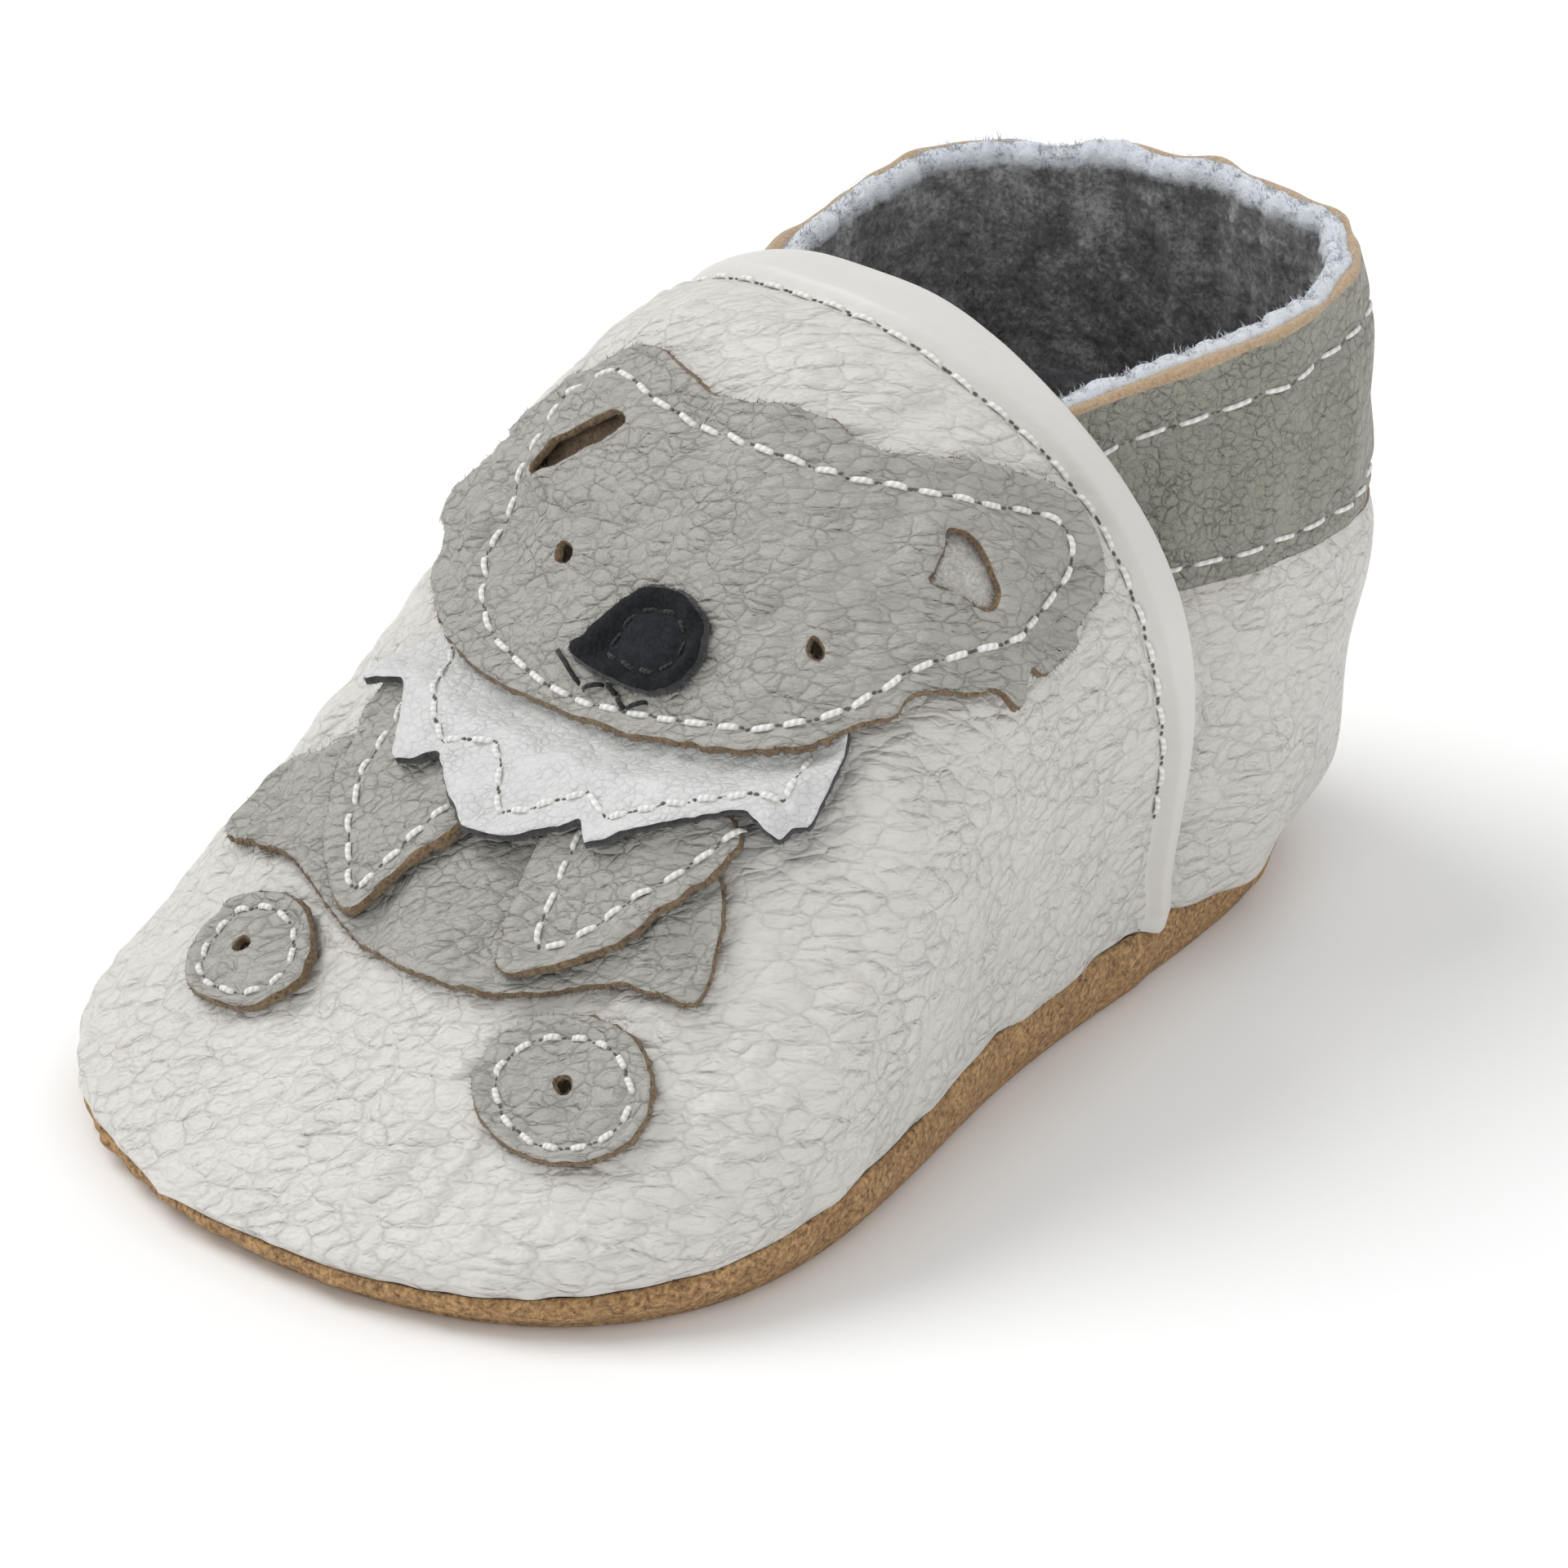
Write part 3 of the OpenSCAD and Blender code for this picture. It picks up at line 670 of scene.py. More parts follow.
@dataclass(frozen=True)
class Plush:
    """Short pile cloth, drawn dark with painted shade inside, with light tips, and paler along
    its cut rim.

    Attributes:
        rim_shade: colour in the rim's hollows.
        rim_from: height along the cloth at which the rim starts.
    """

    name: str
    # painted shade: the pale cloth is drawn this dark because it lies in the shoe's shadow
    dark: Colour = (0.05, 0.047, 0.047)
    light: Colour = (0.5, 0.5, 0.51)
    rim: Colour = (0.78, 0.82, 0.88)
    rim_shade: Colour = (0.6, 0.64, 0.7)
    rim_from: float = 0.965

    def make(self) -> bpy.types.Material:
        """Builds the node material; the height along the cloth comes from its UV map.

        Returns:
            The material.
        """
        r = Recipe(self.name)
        at = r.coords.outputs["Object"]
        pile = r.noise(r.warped(at, 1.0, 0.4), 0.55, 5.0, 0.72)
        lumps = r.noise(at, 4.0, 3.0, 0.6)
        tone = r.math("ADD", r.math("MULTIPLY", pile, 0.65), r.math("MULTIPLY", lumps, 0.35))
        tall = r.node("ShaderNodeMapping", {"Vector": at, "Scale": (1, 1, 0.35)}).outputs[0]
        streak = r.math("SUBTRACT", r.noise(tall, 5.0, 4.0, 0.65), 0.5)
        # painted shade: low on the cloth it stays dark, higher up it lifts slightly and streaks
        # show
        rise = r.node("ShaderNodeSeparateXYZ", {0: r.coords.outputs["UV"]}).outputs[1]
        tone = r.math("ADD", tone, r.math("MULTIPLY", r.math("ADD", streak, 0.06),
                                          r.math("MULTIPLY", rise, 0.55)))
        body = r.ramp(tone, [(0.36, self.dark), (0.52, tuple(
            (a + b) / 2.6 for a, b in zip(self.dark, self.light))), (0.66, self.light)])
        up = r.math("ADD", rise, r.math("MULTIPLY", r.math("SUBTRACT", pile, 0.5), 0.03))
        edge = r.ramp(up, [(self.rim_from, LOW), (min(0.999, self.rim_from + 0.03), HIGH)])
        fleece = r.mix(r.ramp(pile, [(0.3, (0.25,) * 3), (0.6, LOW)]), self.rim,
                       self.rim_shade)
        r.skin_set(Base_Color=r.mix(edge, body, fleece), Roughness=0.95,
                   Specular_IOR_Level=0.1, Sheen_Weight=0.4, Sheen_Roughness=0.5)
        r.bump(lumps, 0.6, 0.5)
        r.bump(pile, 0.35, 0.9)
        return r.mat


@dataclass(frozen=True)
class Thread:
    """Twisted sewing thread: slanting plies along its own UV map, twist in radians."""

    name: str
    colour: Colour
    shade: Colour
    twist: float = 24.0

    def make(self) -> bpy.types.Material:
        """Builds the node material.

        Returns:
            The material.
        """
        r = Recipe(self.name)
        uv = r.node("ShaderNodeSeparateXYZ", {0: r.coords.outputs["UV"]})
        turn = r.math("ADD", r.math("MULTIPLY", uv.outputs[1], self.twist),
                      r.math("MULTIPLY", uv.outputs[0], 2 * math.pi))
        ply = r.math("ADD", r.math("MULTIPLY", r.math("SINE", turn), 0.5), 0.5)
        fuzz = r.noise(r.coords.outputs["Object"], 0.12, 3.0)
        r.skin_set(Base_Color=r.mix(ply, self.shade, self.colour), Roughness=0.6,
                   Specular_IOR_Level=0.35, Sheen_Weight=0.3, Sheen_Roughness=0.4)
        r.bump(ply, 0.06, 1.0)
        r.bump(fuzz, 0.03, 0.6)
        return r.mat


@dataclass(frozen=True)
class Woven:
    """Ribbed elastic or felted foam: fine rows across a pale ground."""

    name: str
    colour: Colour
    row_mm: float = 1.0
    depth_mm: float = 0.15

    def make(self) -> bpy.types.Material:
        """Builds the node material.

        Returns:
            The material.
        """
        r = Recipe(self.name)
        at = r.coords.outputs["Object"]
        z = r.node("ShaderNodeSeparateXYZ", {0: at}).outputs[2]
        rib = r.math("SINE", r.math("MULTIPLY", z, 2 * math.pi / (self.row_mm * MM)))
        rib = r.math("ADD", r.math("MULTIPLY", rib, 0.5), 0.5)
        yarn = r.noise(at, 0.35, 4.0)
        dimmed = 0.72
        dim = tuple(c * dimmed for c in self.colour)
        body = r.mix(rib, dim, self.colour)
        body = r.mix(r.ramp(yarn, [(0.35, (0.4,) * 3), (0.65, LOW)]), body, dim)
        r.skin_set(Base_Color=body, Roughness=0.9, Specular_IOR_Level=0.15, Sheen_Weight=0.2)
        r.bump(rib, self.depth_mm, 0.8)
        r.bump(yarn, 0.1, 0.8)
        return r.mat


MADE: dict[str, bpy.types.Material] = {}


class Finish(Enum):
    """The finishes of this shoe."""

    CREAM = Leather("cream_pebbled", (0.665, 0.65, 0.613), (0.53, 0.505, 0.462), 1.95, 0.44)
    SMOOTH = Leather("cream_rolled", (0.68, 0.665, 0.635), (0.66, 0.645, 0.615), 1.6, 0.03,
                     0.44)
    GREY = Leather("grey_pebbled", (0.39, 0.383, 0.348), (0.2, 0.193, 0.168), 1.3, 0.38)
    BAND = Leather("band_pebbled", (0.295, 0.292, 0.243), (0.155, 0.15, 0.12), 1.25, 0.38,
                   0.5, 60.0, 1.3)
    WHITE = Leather("white_grained", (0.655, 0.663, 0.655), (0.5, 0.5, 0.495), 0.8, 0.14,
                    0.56, 133.0, 1.2, 0.15)
    SPECKLED = Suede("white_flesh_side", (0.82, 0.81, 0.77), (0.46, 0.44, 0.41), 0.35, 0.12)
    SOLE = Suede("tan_nap", (0.76, 0.47, 0.215), (0.15, 0.072, 0.026), 0.5, 0.6, 0.1)
    # painted shade: the floor of a punched hole is dark partly from its brown fibres, partly
    # from the hole's shadow
    PIT = Suede("punched_pit", (0.1, 0.066, 0.034), (0.02, 0.012, 0.006), 0.3, 0.2)
    CUT = Suede("brown_cut_edge", (0.34, 0.23, 0.12), (0.085, 0.05, 0.024), 0.32, 0.3)
    TAN_EDGE = Suede("tan_cut_edge", (0.58, 0.43, 0.28), (0.36, 0.25, 0.15), 0.3, 0.12)
    BLACK = Suede("black_nap", (0.018, 0.02, 0.023), (0.004, 0.004, 0.005), 0.4, 0.16, 0.03)
    # the nose's black middle, drawn matte and a little lighter: partly its own black, partly a
    # painted faint bluish sheen
    SHEEN_BLACK = Suede("black_painted_sheen", (0.026, 0.029, 0.034), (0.01, 0.011, 0.013), 0.5, 0.05, 0.0)
    BLACK_CUT = Suede("black_cut_edge", (0.05, 0.052, 0.058), (0.01, 0.01, 0.011), 0.3, 0.2)
    PLUSH = Plush("plush_ankle")
    # painted shade: on the lining deep inside the shoe even the rim is drawn dark grey
    DEEP_PLUSH = Plush("plush_foot", rim_from=0.96, rim=(0.2, 0.2, 0.22))
    PALE_THREAD = Thread("white_thread", (0.88, 0.88, 0.86), (0.68, 0.675, 0.65))
    DARK_THREAD = Thread("black_thread", (0.02, 0.02, 0.02), (0.006, 0.006, 0.006))
    # painted shade: the dark colour stands in for the shadow inside a needle hole
    NEEDLE_HOLE = Suede("needle_hole", (0.16, 0.145, 0.12), (0.07, 0.06, 0.05), 0.3, 0.1)
    FOAM = Woven("foam_crumb", (0.8, 0.76, 0.62), 1.3, 0.1)
    ELASTIC = Woven("elastic_weave", (0.78, 0.78, 0.76), 0.9, 0.2)

    def material(self) -> bpy.types.Material:
        """The material, made the first time that it is asked for."""
        if self.name not in MADE:
            MADE[self.name] = self.value.make()
        return MADE[self.name]


# --- mesh making
@dataclass
class Mesh:
    """A mesh being gathered.

    Attributes:
        points: points in millimetres.
        faces: point numbers, one face a row; a row of a smaller face ends with -1.
        uv: one UV per point.
        finish: number of each face's finish.
    """

    points: Array
    faces: Array
    uv: Optional[Array] = None
    finish: Optional[Array] = None

    def joined(self, other: "Mesh", step: int = 0) -> "Mesh":
        """This mesh with another beside it.

        Args:
            other: the mesh to add.
            step: what is added to its finish numbers.

        Returns:
            Both in one mesh.
        """
        pad = max(self.faces.shape[1], other.faces.shape[1])

        def wide(f: Array) -> Array:
            """Faces filled up to the widest row."""
            return np.hstack([f, np.full((len(f), pad - f.shape[1]), -1)])

        more = np.where(wide(other.faces) < 0, -1, wide(other.faces) + len(self.points))
        return Mesh(np.vstack([self.points, other.points]), np.vstack([wide(self.faces), more]),
                    np.vstack([self.uvs(), other.uvs()]),
                    np.r_[self.finishes(), other.finishes() + step])

    def uvs(self) -> Array:
        """The UVs, or zeros."""
        return self.uv if self.uv is not None else np.zeros((len(self.points), 2))

    def finishes(self) -> Array:
        """The finish numbers, or zeros."""
        return self.finish if self.finish is not None else np.zeros(len(self.faces), int)

    def piece(self, name: str, finishes: Sequence[Finish]) -> bpy.types.Object:
        """Writes the mesh into a new object, shaded smooth.

        Args:
            name: the object's name.
            finishes: one finish per number used by the faces.

        Returns:
            The object, at the origin, in metres.
        """
        f = self.faces
        used = f >= 0
        total = used.sum(1)
        loops = f[used]
        me = bpy.data.meshes.new(name)
        me.vertices.add(len(self.points))
        me.vertices.foreach_set("co", (self.points * MM).astype(np.float32).ravel())
        me.loops.add(len(loops))
        me.loops.foreach_set("vertex_index", loops.astype(np.int32))
        me.polygons.add(len(f))
        me.polygons.foreach_set("loop_start", np.r_[0, np.cumsum(total)[:-1]].astype(np.int32))
        for finish in finishes:
            me.materials.append(finish.material())
        me.polygons.foreach_set("material_index", self.finishes().astype(np.int32))
        me.polygons.foreach_set("use_smooth", np.full(len(f), True))
        layer = me.uv_layers.new(name="run")
        layer.data.foreach_set("uv", self.uvs()[loops].astype(np.float32).ravel())
        me.update(calc_edges=True)
        me.validate()
        ob = bpy.data.objects.new(name, me)
        bpy.context.scene.collection.objects.link(ob)
        log.info("%s: %d points, %d faces", name, len(self.points), len(f))
        return ob


def grid_faces(rows: int, cols: int, wrap_rows: bool = False, wrap_cols: bool = False,
               flip: bool = False) -> Array:
    """Quads over a grid of points, whose fronts face rows crossed with columns.

    Args:
        rows: rows of points.
        cols: points in a row.
        wrap_rows: whether the last row meets the first.
        wrap_cols: whether each row's last point meets its first.
        flip: whether the fronts face the other way.

    Returns:
        Four point numbers per quad, row after row.
    """
    r = np.arange(rows if wrap_rows else rows - 1)
    c = np.arange(cols if wrap_cols else cols - 1)
    r, c = (x.ravel() for x in np.meshgrid(r, c, indexing="ij"))
    r2, c2 = (r + 1) % rows, (c + 1) % cols
    q = np.stack([r * cols + c, r2 * cols + c, r2 * cols + c2, r * cols + c2], -1)
    return q[:, ::-1] if flip else q


def folded(outer: Array, turn: Array, inner: Array, flip: bool, uv_rows: Array) -> Mesh:
    """A sheet with a rounded rim: outside up, over the turned edge and down the inside.

    Args:
        outer: grid of outside points, rows running to the rim.
        turn: rows that round the rim.
        inner: grid of inside points, rows running to the rim.
        flip: whether columns crossed with rows point outwards.
        uv_rows: height along the sheet, one for each outer row.

    Returns:
        A closed mesh; finish 0 is the outside, 1 the rim, 2 the inside and ends.
    """
    n, k, cols = len(outer), len(turn), outer.shape[1]
    rows = 2 * n + k
    g = np.concatenate([outer, turn, inner[::-1]])
    faces = grid_faces(rows, cols, wrap_rows=True, flip=flip)
    row = np.repeat(np.arange(rows), cols - 1)
    finish = np.where(row < n - 1, 0, np.where(row < n + k, 1, 2))
    i = np.arange(rows // 2 - (0 if rows % 2 else 1))
    j = rows - 1 - i
    left = np.stack([i * cols, j * cols, (j - 1) * cols, (i + 1) * cols], -1)
    right = left[:, ::-1] + cols - 1
    ends = np.vstack([right, left] if flip else [left, right])
    ends = ends[:, ::-1]
    up = np.r_[uv_rows, np.full(k, 1.0), uv_rows[::-1]]
    uv = np.stack(np.meshgrid(up, np.linspace(0, 1, cols), indexing="ij"), -1)[..., ::-1]
    return Mesh(g.reshape(-1, 3), np.vstack([faces, ends]), uv.reshape(-1, 2),
                np.r_[finish, np.full(len(ends), 2)])


def rim_turn(edge: Array, out: Array, along: Array, thick: float, rows: int = 5) -> Array:
    """Half circle over a sheet's edge: it sinks with the cosine and runs out with the sine.

    Args:
        edge: outside points of the last row.
        out: outward normals there.
        along: directions in which the sheet runs off its edge.
        thick: thickness of the sheet.
        rows: how many rows the half circle gets.

    Returns:
        The rows of points.
    """
    phi = np.linspace(0, math.pi, rows + 2)[1:-1, None, None]
    return edge - out * thick / 2 * (1 - np.cos(phi)) + along * thick / 2 * np.sin(phi)


def fibres(roots: Array, heads: Array, width: float, seed: int, bend: float = 0.5) -> Mesh:
    """Short hairs, each a bent spike with three sides.

    Args:
        roots: where the hairs stand.
        heads: from root to tip, with the hair's length.
        width: radius at the root.
        seed: number that fixes the bends.
        bend: sideways bend as a share of the length.

    Returns:
        One mesh with all the hairs.
    """
    rng = np.random.default_rng(seed)
    n = len(roots)
    long = np.linalg.norm(heads, axis=1, keepdims=True)
    d = unit(heads)
    side = unit(np.cross(d, unit(rng.normal(size=(n, 3)))))
    other = np.cross(d, side)
    k = np.arange(3) * 2 * math.pi / 3
    spin = side[:, None] * np.cos(k)[:, None] + other[:, None] * np.sin(k)[:, None]
    mid = roots + heads * 0.55 + side * long * bend * 0.3
    low = roots[:, None] + spin * width
    high = mid[:, None] + spin * width * 0.7
    tip = (roots + heads + side * long * bend)[:, None]
    pts = np.concatenate([low, high, tip], 1).reshape(-1, 3)
    a = np.arange(3)
    b = (a + 1) % 3
    walls = np.stack([a, b, b + 3, a + 3], -1)
    caps = np.stack([a + 3, b + 3, np.full(3, 6), np.full(3, -1)], -1)
    base = np.array([[2, 1, 0, -1]])
    one = np.vstack([walls, caps, base])
    all_f = np.where(one[None] < 0, -1, one[None] + 7 * np.arange(n)[:, None, None])
    return Mesh(pts, all_f.reshape(-1, 4))


# --- patches
class Corners(Enum):
    """How far the knife rounds a patch's corners."""

    ROUND = (3, 0.25)
    CRISP = (1, 0.08)
    SOFT = (2, 0.18)


HEAD: Path = (
    (0.803, 98.2), (0.807, 94.7), (0.798, 91.2), (0.784, 88.5), (0.790, 83.3), (0.804, 75.8),
    (0.815, 70.6), (0.813, 66), (0.825, 62), (0.847, 58.7), (0.872, 55.7), (0.918, 50.3),
    (0.936, 46.8), (0.938, 43.2), (0.928, 38.7), (0.910, 35.6), (0.881, 35), (0.849, 33),
    (0.806, 33.8), (0.800, 36), (0.777, 33.8), (0.768, 34.5), (0.765, 37.8), (0.750, 39),
    (0.734, 42.1), (0.709, 46.9), (0.688, 47.6), (0.677, 50.5), (0.646, 55.6), (0.635, 57.6),
    (0.607, 67), (0.586, 79.9), (0.580, 88.9), (0.579, 93.6), (0.583, 99.3), (0.594, 105.4),
    (0.605, 110.5), (0.625, 115.5), (0.640, 118.5), (0.649, 117), (0.666, 118.5),
    (0.681, 124), (0.692, 121), (0.700, 124), (0.712, 119.5), (0.722, 121.5), (0.733, 117),
    (0.745, 118.5), (0.757, 113), (0.768, 110.5), (0.786, 103.6))
HEAD_STITCH: Path = (
    (0.782, 98.6), (0.771, 92.6), (0.760, 88.6), (0.763, 83), (0.766, 77.3), (0.778, 69.5),
    (0.788, 65.4), (0.804, 60.8), (0.824, 55.7), (0.853, 51.1), (0.888, 48.1), (0.912, 45.3),
    (0.918, 43.3), (0.895, 39.2), (0.843, 37.8), (0.801, 38.3), (0.756, 42.9), (0.715, 48.5),
    (0.701, 49.7), (0.673, 53.5), (0.648, 58.5), (0.622, 66), (0.605, 75.3), (0.593, 83.7),
    (0.588, 88.2), (0.589, 90.6), (0.596, 95.2), (0.602, 99), (0.624, 103.5), (0.644, 107),
    (0.672, 108), (0.702, 108.5), (0.736, 107.5), (0.768, 103.6), (0.782, 98.6))
CHIN: Path = ((0.83, 33), (0.776, 35), (0.768, 38), (0.734, 42), (0.709, 47), (0.677, 50.5),
              (0.646, 55.6), (0.635, 57.6), (0.607, 67), (0.586, 80), (0.58, 89), (0.579, 94),
              (0.583, 99), (0.594, 105.4), (0.605, 108), (0.66, 114))
EAR_RIGHT: Path = ((0.811, 52.1), (0.824, 50.2), (0.827, 47.5), (0.818, 45.5), (0.816, 43.2),
                   (0.800, 42.1), (0.792, 42.9), (0.785, 46.5), (0.769, 50.8), (0.782, 50.4),
                   (0.799, 51))
EAR_LEFT: Path = ((0.700, 104.6), (0.722, 102.6), (0.740, 97.2), (0.752, 94.2), (0.748, 92.0),
                  (0.729, 94.2), (0.708, 98.8), (0.698, 102.0))
NOSE: Path = ((0.611, 89.7), (0.624, 89.2), (0.639, 88.7), (0.652, 87.5), (0.662, 85.1),
              (0.665, 81.7), (0.662, 78.4), (0.653, 76.5), (0.639, 75.6), (0.624, 76.5),
              (0.611, 79.1), (0.607, 83.1), (0.606, 85.9), (0.607, 88.7))
BIB: Path = (
    (0.600, 108.5), (0.595, 112.5), (0.571, 118), (0.555, 112.9), (0.563, 106.7),
    (0.515, 98.7), (0.532, 93.9), (0.507, 89.5), (0.501, 88.8), (0.505, 85.7), (0.517, 82.7),
    (0.536, 77.7), (0.525, 75.3), (0.589, 60), (0.589, 54.2), (0.600, 53.7), (0.607, 51.8),
    (0.652, 51.8), (0.675, 54), (0.655, 59), (0.632, 67), (0.612, 79.9), (0.604, 89),
    (0.604, 94), (0.606, 99), (0.614, 104))
BIB_STITCHES: Sequence[Path] = (
    ((0.592, 107), (0.575, 103.6), (0.550, 98.4), (0.536, 95)),
    ((0.536, 95), (0.550, 90.6)), ((0.550, 90.6), (0.516, 87.7), (0.525, 85.1), (0.549, 80)),
    ((0.549, 80), (0.542, 75.1)), ((0.542, 75.1), (0.572, 67.2), (0.601, 59.5), (0.606, 56.3)),
    ((0.606, 56.3), (0.640, 56.6)))
BODY: Path = (
    (0.448, 127.2), (0.480, 127), (0.506, 125.3), (0.520, 114.5), (0.545, 108), (0.545, 98),
    (0.540, 90), (0.540, 80), (0.548, 70), (0.560, 62), (0.547, 56.7), (0.521, 52.2),
    (0.497, 50.2), (0.489, 55.5), (0.480, 61.7), (0.464, 66.2), (0.438, 72.4), (0.422, 80.9),
    (0.418, 89.5), (0.425, 93.8), (0.440, 102.2), (0.449, 109.4), (0.447, 118))
ARM_LEFT: Path = ((0.566, 112), (0.545, 111.4), (0.510, 109.8), (0.480, 106), (0.460, 102.6),
                  (0.425, 92.3), (0.462, 91), (0.499, 89.8), (0.535, 90), (0.553, 92),
                  (0.560, 100))
ARM_LEFT_STITCH: Path = ((0.556, 106.6), (0.511, 105.1), (0.478, 101.2), (0.438, 93.5),
                         (0.475, 92), (0.511, 90.7), (0.530, 91))
ARM_RIGHT: Path = ((0.554, 82), (0.514, 82.8), (0.500, 82.1), (0.474, 79), (0.449, 75.7),
                   (0.447, 73.3), (0.473, 67.5), (0.496, 64.5), (0.518, 61.9), (0.560, 58.8),
                   (0.576, 58.6), (0.582, 63), (0.562, 72))
ARM_RIGHT_STITCH: Path = ((0.536, 79.4), (0.524, 78.9), (0.495, 76.6), (0.466, 74),
                          (0.478, 71.1), (0.503, 68), (0.530, 64.6), (0.560, 61.6),
                          (0.584, 59.5))
MOUTH: Path = ((0.609, 90.5), (0.594, 88.3), (0.603, 86.3), (0.600, 84.6), (0.595, 82.6),
               (0.606, 80.5))
THROAT: Path = (
    (0.972, 8), (0.971, 14.8), (0.965, 19.8), (0.960, 24.3), (0.958, 29.5), (0.958, 36),
    (0.958, 44), (0.957, 49), (0.952, 54), (0.947, 58.7), (0.939, 64), (0.935, 70),
    (0.931, 77), (0.928, 83), (0.927, 90), (0.928, 97), (0.931, 103), (0.935, 110),
    (0.939, 116), (0.947, 122), (0.952, 126), (0.957, 131), (0.958, 138), (0.958, 148),
    (0.960, 156), (0.965, 161), (0.971, 166), (0.972, 172))


def oval(v: float, a: float, rv: float, ra: float, n: int = 40) -> Array:
    """An oval outline on the vamp: cosine along the vamp and sine across it."""
    k = np.linspace(0, 2 * math.pi, n, endpoint=False)
    return np.stack([v + rv * np.cos(k), a + ra * np.sin(k)], -1)


@dataclass
class Lay:
    """How high the patches lie where they overlap, in millimetres above the vamp."""

    last: Last

    def chin(self, a: Array) -> Array:
        """Lower edge of the head against the arch angle."""
        c = np.array(sorted((q[1], q[0]) for q in CHIN))
        return np.interp(a, c[:, 0], c[:, 1])

    def flat(self, v: Array, a: Array) -> Array:
        """Straight on the vamp."""
        return np.full(np.shape(v), GAP)

    def second(self, v: Array, a: Array) -> Array:
        """On the body patch."""
        return np.full(np.shape(v), GAP + LAYER * 0.96)

    def bib(self, v: Array, a: Array) -> Array:
        """Over the arms, and down on the vamp where the head covers it.

        Args:
            v: 0 at the toe tip, 1 at the throat.
            a: arch angle in degrees.

        Returns:
            Two layers, faded with smooth steps towards the chin and both ends.
        """
        low = 1 - ease(-0.03, -0.004, v - self.chin(np.minimum(a, 105)))
        side = ease(49, 60, a) * (1 - ease(112, 119, a))
        return GAP + 2 * LAYER * low * (0.35 + 0.65 * side)

    def head(self, v: Array, a: Array) -> Array:
        """Raised over the bib along the chin and over the two ear insets.

        Args:
            v: 0 at the toe tip, 1 at the throat.
            a: arch angle in degrees.

        Returns:
            One layer where something lies below, faded with smooth steps.
        """
        def near(v0: float, a0: float, rv: float, ra: float) -> Array:
            """How near a point is to an oval's middle."""
            return 1 - ease(2.2, 7, ((v - v0) / rv) ** 2 + ((a - a0) / ra) ** 2)
        chin = 1 - ease(0.03, 0.075, v - self.chin(a))
        ears = np.maximum(near(0.728, 98.2, 0.022, 4.6), near(0.806, 47.2, 0.024, 4.2))
        return GAP + LAYER * np.maximum(chin, 0.8 * ears)

    def on_head(self, v: Array, a: Array) -> Array:
        """On top of the head patch."""
        return self.head(v, a) + PATCH + 0.04


